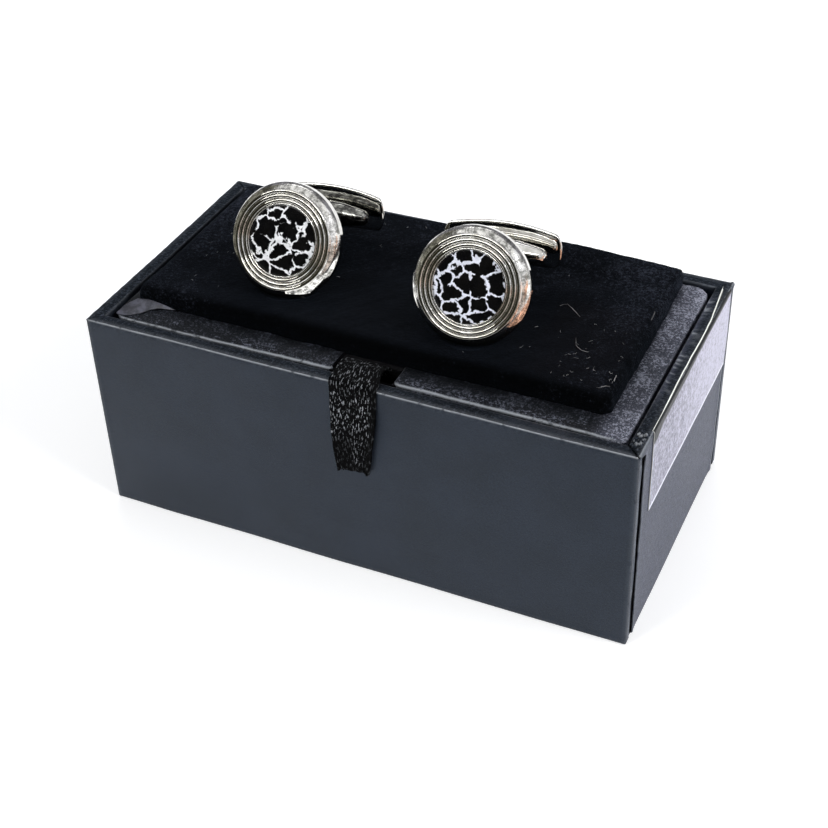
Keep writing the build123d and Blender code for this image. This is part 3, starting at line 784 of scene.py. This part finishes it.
# ---------------------------------------------------------------- insert
def deck_outline():
    """The deck's outline, anticlockwise from above, with rounded corners and the ribbon's notch."""
    path = bent(
        [(0.0, DECK_Y), (-DECK_X, DECK_Y), (-DECK_X, -DECK_Y), (NOTCH_LEFT, -DECK_Y),
         (NOTCH_LEFT, NOTCH_BACK), (NOTCH_RIGHT, NOTCH_BACK), (NOTCH_RIGHT, -DECK_Y),
         (DECK_X, -DECK_Y), (DECK_X, DECK_Y), (0.0, DECK_Y)],
        [DECK_CORNER, DECK_CORNER, 0.9, 0.3, 0.3, 0.9, 1.0, DECK_CORNER],
        step=0.5,
    )
    return path[:-1]


def ease_front(points):
    """The deck's front edge stands back in the middle, 0.3 mm at its top and 0.16 below it, where
    the board's edge lies."""
    x, y, z = (points[..., k] for k in range(3))
    reach = 0.16 + 0.14 * smooth(DECK_TOP - 0.2, DECK_TOP, z)
    points[..., 1] = y + reach * smooth(-16.5, -18.7, y) * smooth(38.0, 10.0, np.abs(x - 8.0))


def outward_of(path):
    """The outward normal at each point of a closed anticlockwise path."""
    return normals_of(np.roll(path, -1, 0) - np.roll(path, 1, 0))


def in_deck(points, margin):
    """Whether each point is inside the deck's outline by at least that margin."""
    x, y = points.T
    beside, behind = np.abs(x) - DECK_X, np.abs(y) - DECK_Y
    corner = np.hypot(beside + DECK_CORNER, behind + DECK_CORNER)
    inside = (beside < -margin) & (behind < -margin)
    inside &= (corner < DECK_CORNER - margin) | (beside < -DECK_CORNER) | (behind < -DECK_CORNER)
    notch = (x > NOTCH_LEFT - margin) & (x < NOTCH_RIGHT + margin) & (y < NOTCH_BACK + margin)
    return inside & ~notch


def filled_deck(outline, spacing, margin):
    """Points and triangles that fill the deck's outline: its own points, and a lattice of inner
    ones at that spacing that keep the margin."""
    low, high = outline.min(0), outline.max(0)
    lattice = np.meshgrid(*(np.arange(low[i] + spacing, high[i], spacing) for i in (0, 1)))
    lattice = np.stack(lattice, -1).reshape(-1, 2)
    every = np.concatenate([outline, lattice[in_deck(lattice, margin)]])
    edges = [(i, (i + 1) % len(outline)) for i in range(len(outline))]
    out = delaunay_2d_cdt([tuple(p) for p in every], edges, [], 1, 1e-6)
    return np.array([tuple(p) for p in out[0]]), [tuple(f) for f in out[2]]


def border_rise(points):
    """The border's unevenness: soft lumps all over and creases that run in from its corners."""
    flat = points_at(points[:, 0], points[:, 1], 0.0)
    rise = ripple(flat, 5, 71) * 0.06 + ripple(flat, 1.6, 72) * 0.02
    for corner in ((1, -1), (1, 1), (-1, 1)):
        a = np.array(corner) * (DECK_X - 0.5, DECK_Y - 0.5)
        b = np.array(corner) * (DECK_X - 3.6, DECK_Y - 4.2)
        t = np.clip((points - a) @ (b - a) / ((b - a) @ (b - a)), 0, 1)
        gap = np.linalg.norm(points - a - t[:, None] * (b - a), axis=1)
        rise -= 0.10 * hump(gap, 0, 0.22)
    return rise


def dress_deck():
    """The insert's paper: a filled top, and a skirt that rolls over the deck's edge and under."""
    outline = deck_outline()
    drop = DECK_BOTTOM - DECK_TOP
    roll = bent([(DECK_EDGE, 0.0), (0.0, 0.0), (0.0, drop), (1.0, drop)], [DECK_EDGE, 0.3], step=0.1)
    drawn_in = outline - roll[:, :1, None] * outward_of(outline)
    skirt = points_at(drawn_in[..., 0], drawn_in[..., 1], DECK_TOP + roll[:, 1:])
    top, triangles = filled_deck(skirt[0, :, :2], spacing=0.6, margin=DECK_EDGE + 0.35)
    skirt[..., 2] += border_rise(skirt[0, :, :2]) * smooth(DECK_TOP - 1.2, DECK_TOP, skirt[..., 2])
    points = np.concatenate([skirt.reshape(-1, 3), np.column_stack([top, DECK_TOP + border_rise(top)])])
    quads = grid_faces(skirt, closed=True)[:, ::-1]
    first = skirt[..., 0].size
    faces = quads.tolist() + [[i + first for i in face] for face in triangles]

    # mostly a painted highlight line along the front edge, with some wear
    line = hump(roll[:, :1], 0.12, 0.09) * (roll[:, 1:] > -0.5)
    on_front = 0.12 + 0.72 * smooth(-18.3, -18.6, outline[:, 1]) * smooth(36.5, 34.5, outline[:, 0])
    x, y = points[:, 0], points[:, 1]
    # painted light: the right border is marked pale, as lit from the right
    pale = smooth(32.0, 35.0, x) * np.interp(y, [-18, -12, -4, 6, 14], [0.75, 0.45, 0.3, 0.55, 1.0])
    marks = {"worn": np.concatenate([(line * on_front).ravel(), np.zeros(len(top))]),
             "pale": pale * (1 + 0.3 * smooth(36.4, 37.0, x)),
             # painted shade on the front border next to the pad
             "shade": 0.85 * smooth(-17.9, -15.2, y) * smooth(34.5, 32.5, x)}
    x, y = np.array([points[face].mean(0)[:2] for face in faces]).T
    # the notch's faces get the painted recess shade
    in_notch = (x > NOTCH_LEFT - 0.35) & (x < NOTCH_RIGHT + 0.1) & (y > -18.1) & (y < NOTCH_BACK + 0.4)
    ease_front(points)
    make_piece("deck_paper", points, faces, "insert", finished("border", "painted_recess_shade"),
               ["deck_wrap"], marks, merge=0.01, coats=in_notch)


def dress_corner_fold():
    """A satin fold of paper across the border's front left corner: a sheet between the fold line at its front
    and a rear edge that leans on the pad, closing to a point at its left."""
    t = np.linspace(0, 1, 48)[:, None]
    across = np.linspace(0, 1, 18)
    ends = [0, 0.2, 0.4, 0.62, 0.82, 1.0]
    front = [(-36.9, -35.2, -33.9, -32.9, -31.9, -29.6), (-18.3, -18.2, -17.2, -15.9, -15.2, -14.75),
             (31.9, 32.0, 32.0, 32.05, 32.1, 32.1)]
    rear = [(-37.1, -36.6, -35.4, -33.8, -31.9, -29.5), (-18.0, -16.2, -15.0, -14.72, -14.62, -14.7),
            (31.9, 32.3, 32.8, 32.9, 32.6, 32.15)]
    sheet = points_at(*(np.interp(t, ends, a) * (1 - across) + np.interp(t, ends, b) * across
                        for a, b in zip(front, rear)))
    sheet[..., 2] += 0.14 * np.sin(np.pi * across) * np.sin(np.pi * t)
    piece = make_piece("border_fold", sheet, grid_faces(sheet), "insert", finished("fold"))
    thicken(piece, THIN_PAPER, inward=False)


def face_frame(side):
    """A face's front ring centre, and its right, up and outward directions."""
    x, y, turn, lean = STANDS[side]
    turn, lean = math.radians(turn), math.radians(lean)
    height = PAD_TOP - RIM_SINK + FACE_RADIUS * math.cos(lean) + FACE_THICKNESS * math.sin(lean)
    outward = np.array([math.sin(turn) * math.cos(lean), -math.cos(turn) * math.cos(lean), math.sin(lean)])
    right = np.array([math.cos(turn), math.sin(turn), 0.0])
    return np.array([x, y, height]), np.stack([right, np.cross(outward, right), outward])


def swivel_frame(side):
    """A hinge pin's middle, with the toggle's length, the pin and the way to the face as axes."""
    centre, (right, up, outward) = face_frame(side)
    rake = math.radians(POST_RAKE)
    middle = centre + PIN_RISE * up - PIN_DEPTH * outward
    towards = outward * math.cos(rake) - up * math.sin(rake)
    return middle, np.stack([right, np.cross(towards, right), towards])


def pad_outline(inset, side=160, corner=26):
    """The pad's outline drawn in by inset mm, anticlockwise from its front left, as that many
    points along each side and round each corner."""
    left, right, front, back = PAD_LEFT + inset, PAD_RIGHT - inset, PAD_FRONT + inset, PAD_BACK - inset
    arcs = []
    for x, y, radius, start in ((left, front, 1.2, 180), (right, front, 1.5, 270),
                                (right, back, 0.15, 0), (left, back, 1.6, 90)):
        centre = np.array([x + radius * (1 if x == left else -1), y + radius * (1 if y == front else -1)])
        angle = np.radians(np.linspace(start, start + 90, corner))
        arcs.append(centre + radius * np.stack([np.cos(angle), np.sin(angle)], -1))
    path = []
    for here, after in zip(arcs, arcs[1:] + arcs[:1]):
        path += [here, here[-1] + (after[0] - here[-1]) * np.linspace(0, 1, side + 2)[1:-1, None]]
    return np.concatenate(path)


def sink_for_face(points, side, share):
    """Presses the pad down under a face's rim, and less beside it: depth is how far the rim
    reaches below the surface there, times exp(-t^2) of the distance from the rim's sides."""
    centre, axes = face_frame(side)
    across, over, out = ((points - centre) @ way for way in axes)
    reach = over + np.sqrt(np.clip(FACE_RADIUS**2 - across**2, 0, None))
    beside = hump(np.clip(np.abs(out + FACE_THICKNESS / 2) - FACE_THICKNESS / 2, 0, None), 0, 0.7)
    under = (np.abs(across) < FACE_RADIUS) & (reach > -1.2)
    points[..., 2] -= np.where(under, beside * np.clip(reach + 0.35, 0, 2.2), 0) * share


def dress_pad():
    """The velvet pad: its outline drawn in towards the middle, rising over a soft shoulder to a
    top that is a little uneven, crowned along the back, and pressed down under each cufflink."""
    rings = 100
    outline = pad_outline(0.0)
    waver = points_at(outline[:, 0], outline[:, 1], 0.0)
    slack = 0.14 + 0.10 * ripple(waver, 7, 51) + 0.07 * ripple(waver, 1.8, 52)
    push = -outward_of(outline) * slack[:, None]
    # (distance in from the outline, height over the deck) up the shoulder
    shoulder = [(0.0, -0.15), (0.02, 0.5), (0.06, 1.1), (0.15, 1.6), (0.30, 2.0), (0.52, 2.28),
                (0.82, 2.46), (1.25, 2.56), (1.8, PAD_RISE)]
    # along the back the cover is tight, so its shoulder is narrower
    tight = 0.8 * smooth(12, 17.5, outline[:, 1])[:, None]
    rows = []
    for depth, _ in shoulder:
        rows.append(pad_outline(depth) * (1 - tight) + pad_outline(0.2 * depth) * tight + push)
    inmost = rows[-1]
    middle = np.array([(PAD_LEFT + PAD_RIGHT) / 2, (PAD_FRONT + PAD_BACK) / 2])
    for ring in range(1, rings + 1):
        rows.append(middle + (inmost - middle) * (1 - ring / (rings + 0.02)))
    rows = np.array(rows)
    rise = np.array([height for _, height in shoulder] + [PAD_RISE] * rings)[:, None]
    points = points_at(rows[..., 0], rows[..., 1], DECK_TOP + rise)
    x, y = points[..., 0], points[..., 1]
    x -= 0.3 * smooth(20.0, 33.9, x) * smooth(6.0, 17.0, y)
    share = np.clip(rise / PAD_RISE, 0, 1)
    crown = np.interp(x, [-36, -14, -4, 5, 14.7, 21, 28.5, 33],
                      [-0.3, -0.42, -0.20, 0.30, 0.95, 0.85, 0.55, 0.35])
    uneven = 0.09 * ripple(points, 14, 53) + 0.03 * ripple(points, 3.5, 54) + 0.014 * ripple(points, 0.9, 55)
    points[..., 2] += share * (uneven - 0.04 + crown * smooth(9.5, 16.5, y))
    for side in STANDS:
        sink_for_face(points, side, share)
    # painted sheen: lighter towards the back, the left and the right
    lit = 0.55 * smooth(-6, 16, y) + 0.55 * smooth(-18, -34, x) + 0.40 * smooth(20, 32, x)
    count = len(outline)
    faces = grid_faces(points, closed=True).tolist()
    faces.append([k + (len(rise) - 1) * count for k in range(count)])
    piece = make_piece("velvet_pad", points, faces, "insert", finished("velvet"), ["velvet_cover"],
                       {"lit": np.clip(lit, 0, 1)})


def lint_threads():
    """The middle lines and half widths of the lint: five threads of their own, then loose fibres
    that are scattered over three stretches of the pad, each bending evenly as it goes."""
    rng = np.random.default_rng(5)
    threads = [
        [(20.7, 3.0), (21.5, 3.8), (22.4, 3.1), (24.1, 1.5)],
        [(25.3, -3.4), (25.9, -5.0), (26.8, -5.8), (27.9, -5.8)],
        [(33.0, 6.3), (33.1, 5.2), (33.15, 4.3)],
        [(32.9, -9.4), (33.0, -10.6)],
        [(31.9, -12.4), (32.4, -12.0), (32.9, -11.9)],
    ]
    sizes = [0.035, 0.03, 0.09, 0.07, 0.07]
    stretches = ((30, (-33, -12), (32, 16)), (34, (25, -13), (33.2, 3)), (10, (-34, -12), (-24, 6)))
    for count, low, high in stretches:
        for _ in range(count):
            start = rng.uniform(low, high)
            way = rng.uniform(0, 2 * np.pi)
            reach = rng.uniform(0.15, 0.7)
            bend = rng.uniform(-1.2, 1.2)
            angle = way + bend * np.arange(3)
            steps = np.stack([np.cos(angle), np.sin(angle)], -1).cumsum(0) * reach / 3
            threads.append([start, *(start + steps)])
            sizes.append(rng.uniform(0.010, 0.024))
    return threads, sizes


def dress_lint():
    """Lint on the velvet: thin bent fibres, as three-sided tubes that lie on the pile."""
    points, faces = [], []
    for path, size in zip(*lint_threads()):
        path = np.array(path)
        t = np.linspace(0, len(path) - 1, 4 * len(path))
        line = points_at(*(np.interp(t, np.arange(len(path)), path[:, i]) for i in (0, 1)), 0.0)
        line[:, 2] = PAD_TOP + 0.03 + 0.12 * np.abs(ripple(line, 1.0, 9))
        up = np.array((0, 0, 1.0))
        side = unit(np.cross(np.gradient(line, axis=0), up))
        ring = [line + size * (math.cos(a) * side + math.sin(a) * up) for a in (0.5, 2.6, 4.7)]
        tube = np.stack(ring, 1)
        faces.append(grid_faces(tube, closed=True) + sum(len(p) for p in points))
        points.append(tube.reshape(-1, 3))
    make_piece("lint", np.concatenate(points), np.concatenate(faces), "insert", finished("lint"))


def dress_ribbon():
    """The ribbon tab: a path from under the deck, up through the notch, over the rim and down
    the front, with its width narrowing and its face cupped a little across."""
    # (y, z) from the glued end to the cut end
    path = bent([(-12.4, 29.9), (-15.0, 29.9), (-15.5, 32.1), (-17.6, 32.95), (-21.62, 32.5), (-21.62, 17.5)],
                [0.5, 0.9, 0.9, 0.8], step=0.12)
    length = np.concatenate([[0], np.cumsum(np.linalg.norm(np.diff(path, axis=0), axis=1))])
    along = np.linspace(0, length[-1], 240)[:, None]
    y, z = (np.interp(along, length, path[:, i]) for i in (0, 1))
    across = np.linspace(0, 1, 36)
    drop = np.clip((32.0 - z) / 14.5, 0, 1) * (y < -20)
    left = np.interp(drop, [0, 0.1, 0.5, 0.73, 1.0], [-2.15, -2.1, -2.15, -2.05, -1.6])
    right = np.interp(drop, [0, 0.34, 0.54, 0.95, 1.0], [4.75, 4.5, 4.15, 3.25, 3.15])
    right = right - 0.70 * smooth(-21.0, -18.0, y)
    points = points_at(left + (right - left) * across, y, z)
    run_y, run_z = unit(np.gradient(np.concatenate([y, z], 1), axis=0)).T[..., None]
    lift = 0.16 * (2 * across - 1) ** 2 * smooth(0.0, 0.5, drop)
    lift = lift + 0.05 * ripple(points, 4, 61) + 0.02 * ripple(points, 1.1, 62)
    lift = lift + 0.35 * smooth(0.80, 1.0, across) * smooth(0.1, 0.5, drop)
    points[..., 1] += lift * run_z
    points[..., 2] -= lift * run_y
    # the cut end is a little uneven
    points[..., 2] -= smooth(0.93, 1.0, drop) * (0.20 * ripple(points, 0.7, 63) - 0.75 * across)
    # painted glints: in the upper half, then only a column right of the middle, and never the right edge
    column = 0.85 * hump(across, 0.62, 0.16) * smooth(0.98, 0.8, drop)
    sheen = smooth(0.93, 0.82, across) * np.maximum(smooth(0.72, 0.45, drop), column)
    sheen = np.maximum(sheen * (0.34 + 0.30 * smooth(0.03, 0.16, drop)), 0.10)
    weave = points_at(across * 6.4, along, 0.0) * MM
    piece = make_piece("ribbon", points, grid_faces(points), "insert", finished("ribbon"),
                       ["ribbon_tab"], {"weave": weave, "sheen": sheen})
    thicken(piece, RIBBON_THICKNESS, inward=False)


# ---------------------------------------------------------------- cufflinks
def turned(name, profile, side, finish, replaced, marks=None):
    """A turned piece of a cufflink: a (radius, height) profile carried round the face's outward
    axis. Points on the axis close to one pole. marks are values for each point of the profile."""
    centre, (right, up, outward) = face_frame(side)
    around = 224
    angle = np.linspace(0, 2 * np.pi, around, endpoint=False)
    ring = np.cos(angle)[:, None] * right + np.sin(angle)[:, None] * up
    points = centre + profile[:, :1, None] * ring + profile[:, 1:, None] * outward
    full = {label: values[:, None] for label, values in (marks or {}).items()}
    if full:
        full["way"] = points_at(np.cos(angle), np.sin(angle), 0.03 * profile[:, :1])
    make_piece(f"{side}_{name}", points, grid_faces(points, closed=True), f"{side}_cufflink",
               finished(finish), [f"{side}_{replaced}"], full, merge=0.0005)


def face_profile():
    """From the middle of the back round to the cup: a straight side, a sloping shoulder bulged by
    0.16 sin, and flat-topped beads, whose height is BEAD_BASE + BEAD_RISE |sin| to the power
    0.25. With it come the shoulder's and the bead tops' marks."""
    rim = bent([(0.0, -FACE_THICKNESS), (FACE_RADIUS, -FACE_THICKNESS), (FACE_RADIUS, SHOULDER_LOW),
                (RING_RADIUS, SHOULDER_HIGH)], [0.22, 0.10], step=0.05)
    height = rim[:, 1:]
    t = np.clip((height - SHOULDER_LOW) / (SHOULDER_HIGH - SHOULDER_LOW), 0, 1)
    off_slope = (0.784, 0.62)
    rim = rim + 0.16 * np.sin(np.pi * t) * off_slope * (height > SHOULDER_LOW + 0.08)
    across = np.linspace(0, 1, 118)[1:]
    bead = np.abs(np.sin(BEADS * np.pi * across)) ** 0.25
    beads = np.stack([RING_RADIUS - (RING_RADIUS - CUP_RADIUS) * across, BEAD_BASE + BEAD_RISE * bead], -1)
    cup = np.array([(CUP_RADIUS, CUP_FLOOR), (0.0, CUP_FLOOR)])
    on_shoulder = smooth(SHOULDER_LOW - 0.1, SHOULDER_LOW + 0.1, rim[:, 1])
    satin = np.concatenate([on_shoulder, np.zeros(len(beads) + len(cup))])
    # band marks the bead tops for their painted darker reflection
    band = np.concatenate([np.zeros(len(rim)), smooth(0.78, 0.95, bead), np.zeros(len(cup))])
    return np.concatenate([rim, beads, cup]), {"satin": satin, "band": band}


def bezel_profile():
    """The thin ring round the stone, with rounded edges."""
    inner, outer, top = 4.87, 5.1, 0.08
    return bent([(inner, CUP_FLOOR), (outer, CUP_FLOOR), (outer, top), (inner, top), (inner, CUP_FLOOR)],
                [0.05, 0.1, 0.08], step=0.04)


def stone_profile():
    """A low dome, 0.3 high over its radius, on a straight girdle."""
    r = np.linspace(0, STONE_RADIUS - 0.12, 40)
    dome = np.stack([r, 0.05 - 0.3 * (r / STONE_RADIUS) ** 2], -1)
    under = CUP_FLOOR + 0.02
    girdle = bent([tuple(dome[-1]), (STONE_RADIUS, -0.27), (STONE_RADIUS, under), (0.0, under)],
                  [0.1, 0.05], step=0.03)
    return np.concatenate([dome, girdle[1:]])[::-1]


def superellipse(t):
    """A cosine or sine drawn out towards a square, as |t| to the power 2/3 with its sign."""
    return np.sign(t) * np.abs(t) ** 0.667


def dress_leaf(side):
    """The toggle's leaf in the swivel's frame: superellipse sections, |y/h|^3 + |z/t|^3 = 1,
    carried along a bow, their height shrinking from the middle and closing over each end."""
    middle, axes = swivel_frame(side)
    x = LEAF_HALF * np.sin(np.linspace(-np.pi / 2, np.pi / 2, 121))[:, None]
    out = np.abs(x)
    round_from = 7.3
    round_end = np.sqrt(np.clip(1 - ((out - round_from) / (LEAF_HALF - round_from)) ** 2, 1e-6, 1))
    half = np.where(out <= round_from, 3.05 - 0.6 * (x / 7.8) ** 2, 2.52 * round_end)
    thick = 0.45 * np.sqrt(np.clip(1 - (out / LEAF_HALF) ** 14, 1e-6, 1))
    bow = LEAF_MIDDLE + 1.4 * (x / LEAF_HALF) ** 2
    phi = np.linspace(0, 2 * np.pi, 64, endpoint=False)
    points = points_at(x, half * superellipse(np.cos(phi)), bow + thick * superellipse(np.sin(phi)))
    rows, columns = points.shape[:2]
    faces = grid_faces(points, closed=True).tolist()
    faces.append(list(range(columns)))
    faces.append([k + (rows - 1) * columns for k in range(columns)][::-1])
    make_piece(f"{side}_leaf", middle + points @ axes, faces, f"{side}_toggle", finished("chrome"),
               [f"{side}_toggle_leaf"])


def polish(node):
    """A metal node keeps its shape: its loose triangles are joined and its edges rounded."""
    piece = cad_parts[node]
    weld = piece.modifiers.new("join", "WELD")
    weld.merge_threshold = 1e-6
    soft = piece.modifiers.new("round", "BEVEL")
    soft.width = 0.06 * MM
    soft.segments = 2
    soft.angle_limit = math.radians(35)
    soft.harden_normals = True
    piece.data.polygons.foreach_set("use_smooth", np.ones(len(piece.data.polygons), bool))


def dress_cufflink(side):
    """A cufflink's leaf and turned pieces, and the finishes of its kept nodes. The left barrel gets the
    plating painted dark, a shaded copy."""
    dress_leaf(side)
    profile, marks = face_profile()
    turned("face", profile, side, "chrome", "face_body", marks)
    turned("bezel", bezel_profile(), side, "chrome", "bezel_ring")
    turned("cabochon", stone_profile(), side, f"{side}_stone", "stone")
    # the left barrel's plating is painted dark, a shaded copy
    coat(f"{side}_toggle_barrel", "shaded_plating" if side == "left" else "chrome")
    for node in ("post", "hinge_pin", "toggle_leaf"):
        coat(f"{side}_{node}", "chrome")
    for node in ("click_ball", "click_spring"):
        coat(f"{side}_{node}", "steel")
    for node in ("post", "toggle_barrel", "hinge_pin"):
        polish(f"{side}_{node}")


# ---------------------------------------------------------------- stage, in metres
def stage_finish(name, colour, strength):
    """A plain surface that glows a little to the camera and in reflections, and more where it is
    far off and dimly lit, so that it is white."""
    f = Finish(name, Base_Color=colour, Roughness=0.9, Specular_IOR_Level=0.0, Emission_Color=(1, 1, 1))
    place = f.node("TexCoord", out="Object")
    away = f.node("VectorMath", {0: place}, out="Value", operation="LENGTH")
    far_glow = f.ray("Camera") * f.ramp(away, 0.5, 1.3, 0.0, 0.4)
    return f.wear(Emission_Strength=f.shown() * strength + far_glow)


def card_finish(name, first, second, size, low=0.4, high=0.6, stretch=(1, 1, 1)):
    """A card's light, in two shades that change over patches of about that many mm."""
    f = Finish(name, Base_Color=(0, 0, 0), Roughness=1.0, Specular_IOR_Level=0.0, Emission_Strength=1.0)
    patch = f.ramp(f.noise(size, 4, 0.65, at=f.spot(stretch)), low, high)
    return f.wear(Emission_Color=f.tint(first, second, patch))


def card(name, points, finish):
    """A studio card that only shows in reflections, from rows of points."""
    made = new_object(name, points, grid_faces(points), [finish])
    made.visible_camera = made.visible_diffuse = made.visible_shadow = False
    made.visible_transmission = made.visible_volume_scatter = False


def arc_card(name, near, far, start, end, low, high, finish):
    """A band round the box, from start to end in degrees anticlockwise from +X, between two
    distances from the box and two heights."""
    angle = np.radians(np.linspace(start, end, 33))
    reach, height = np.array([[near], [far]]), np.array([[low], [high]])
    card(name, points_at(reach * np.cos(angle), reach * np.sin(angle), height), finish)


def softbox(name, centre, towards, width, height, watts):
    """A rectangular lamp that faces a point."""
    lamp = bpy.data.lights.new(name, "AREA")
    lamp.shape = "RECTANGLE"
    lamp.size, lamp.size_y = width, height
    lamp.energy = watts
    made = bpy.data.objects.new(name, lamp)
    bpy.context.scene.collection.objects.link(made)
    back = unit(np.array(centre, float) - towards)
    side = unit(np.cross((0, 0, 1.0), back))
    turn = Matrix(np.stack([side, np.cross(back, side), back], -1)).to_4x4()
    made.matrix_world = Matrix.Translation(centre) @ turn
    return made


def lay_stage():
    """A pale floor, and cards whose reflections give the plating its darks and lights."""
    floor = new_object("floor", [(-3, -3, 0), (3, -3, 0), (3, 3, 0), (-3, 3, 0)], [[0, 1, 2, 3]],
                       [stage_finish("pale floor", (0.80, 0.80, 0.80), 0.45)])
    dark = card_finish("dark cloth", (0.016, 0.015, 0.011), (0.085, 0.080, 0.060), 60)
    streaked = card_finish("streaked cloth", (0.05, 0.048, 0.035), (0.36, 0.35, 0.29), 30,
                           stretch=(1, 1, 0.05))
    grey = card_finish("grey cloth", (0.12, 0.12, 0.135), (0.34, 0.335, 0.36), 40, 0.35, 0.65)
    warm = card_finish("warm mottle", (0.015, 0.008, 0.006), (1.22, 1.07, 0.98), 24, 0.45, 0.54)
    cold = card_finish("cold mottle", (0.10, 0.11, 0.14), (1.5, 1.5, 1.55), 45, 0.42, 0.56)
    orange = card_finish("orange mottle", (0.16, 0.09, 0.06), (1.55, 0.86, 0.58), 26, 0.42, 0.52)
    arc_card("front_card", 0.75, 0.75, -146, -64, 0.0, 0.62, dark)
    arc_card("front_floor_card", 0.14, 0.75, -150, -64, 0.002, 0.002, dark)
    arc_card("left_card", 0.76, 0.76, 150, 216, 0.0, 1.0, streaked)
    arc_card("left_floor_card", 0.10, 0.76, 150, 212, 0.002, 0.002, streaked)
    arc_card("back_card", 0.77, 0.77, 42, 152, 0.0, 1.25, grey)
    arc_card("right_card", 0.74, 0.74, -64, 42, 0.24, 0.95, cold)
    arc_card("low_card", 0.73, 0.73, -64, 4, 0.0, 0.26, warm)
    arc_card("orange_card", 0.71, 0.71, -20, 15, 0.02, 0.17, orange)
    arc_card("side_floor_card", 0.10, 0.73, -60, 0, 0.003, 0.003, warm)

    near_white = card_finish("near white", (0.5, 0.5, 0.52), (1.7, 1.7, 1.7), 1.6, 0.38, 0.50)
    near_warm = card_finish("near warm", (0.03, 0.012, 0.006), (1.5, 0.85, 0.60), 1.3, 0.42, 0.55)
    # small cards just over the pad, seen in the faces' rings; their corners are in mm
    height = (PAD_TOP + 1.0) * MM
    for name, corners, finish in (
        ("left_low_white", (-14.6, -14.4, -7.6, -8.2), near_white),
        ("left_low_pale", (-7.4, -12.5, -4.4, -3.5), near_white),
        ("middle_low_white", (-4.2, -9.5, 1.6, 2.0), near_white),
        ("right_low_warm", (21.0, -12.5, 32.5, 5.0), near_warm),
    ):
        x0, y0, x1, y1 = (v * MM for v in corners)
        card(name, [[(x0, y0, height), (x1, y0, height)], [(x0, y1, height), (x1, y1, height)]], finish)
    low_edge, high_edge = (-0.50, 0.56), (-0.455, 0.60)
    card("strip_light", [[(x, *edge) for x in (-0.75, 0.25)] for edge in (low_edge, high_edge)],
         card_finish("strip light", (14, 14, 14), (16, 16, 15.5), 200))


def hang_lamps():
    """A key lamp from the right, a weaker one behind, and a front one that reflections don't show."""
    softbox("key", (0.85, -0.05, 0.55), (0, 0, 0.02), 0.5, 0.5, 6.5)
    softbox("rear", (-0.30, 0.75, 0.7), (0, 0, 0.02), 0.7, 0.4, 3.0)
    softbox("front", (-0.45, -0.75, 0.55), (0, 0, 0.03), 0.3, 0.3, 3.3).visible_glossy = False


def paint_room():
    """The world: grey light all round, which shows as white."""
    room = bpy.data.worlds.new("room")
    bpy.context.scene.world = room
    nodes = Nodes(room)
    colour = nodes.tint((0.36, 0.37, 0.39), (1, 1, 1), nodes.shown())
    nodes.end("World", nodes.node("Background", {"Color": colour}).socket)


def place_camera():
    """The camera looks along the azimuth and elevation, rolled, with the box's origin set off
    from the picture's middle."""
    back = np.array([math.sin(AZIMUTH) * math.cos(ELEVATION), -math.cos(AZIMUTH) * math.cos(ELEVATION),
                     math.sin(ELEVATION)])
    level = unit(np.cross((0, 0, 1), back))
    rise = np.cross(back, level)
    right = math.cos(ROLL) * level + math.sin(ROLL) * rise
    up = math.cos(ROLL) * rise - math.sin(ROLL) * level
    eye = (right * AIM_RIGHT + up * AIM_UP + back * DISTANCE) * MM
    lens = bpy.data.cameras.new("camera")
    lens.lens = SENSOR * FOCAL_PIXELS / FRAME_PIXELS
    lens.sensor_width = SENSOR
    lens.clip_start, lens.clip_end = 0.01, 20
    camera = bpy.data.objects.new("camera", lens)
    bpy.context.scene.collection.objects.link(camera)
    camera.matrix_world = Matrix.Translation(eye) @ Matrix(np.stack([right, up, back], -1)).to_4x4()
    bpy.context.scene.camera = camera


# ---------------------------------------------------------------- the whole box
dress_long_wall(-1, "front_paper", "front_wrap", 11)
dress_long_wall(1, "back_paper", "back_wrap", 23)
dress_end_wall(-1, "left_paper", "left_wrap", 37)
dress_end_wall(1, "right_paper", "right_wrap", 41)
dress_strip()
dress_tuck()
dress_deck()
dress_corner_fold()
dress_pad()
dress_lint()
dress_ribbon()
for side in STANDS:
    dress_cufflink(side)
for kind, nodes in {
    "paper": ("base_sheet", "floor_lining"),
    "tape": ("corner_stays",),
    "greyboard": ("bottom_board", "front_board", "back_board", "left_board", "right_board"),
    "card": ("deck_board", "front_leg", "back_leg", "left_leg", "right_leg"),
    "foam": ("foam_pad",),
}.items():
    for node in nodes:
        coat(node, kind)

lay_stage()
hang_lamps()
paint_room()
place_camera()
bpy.context.scene.view_settings.view_transform = "Standard"
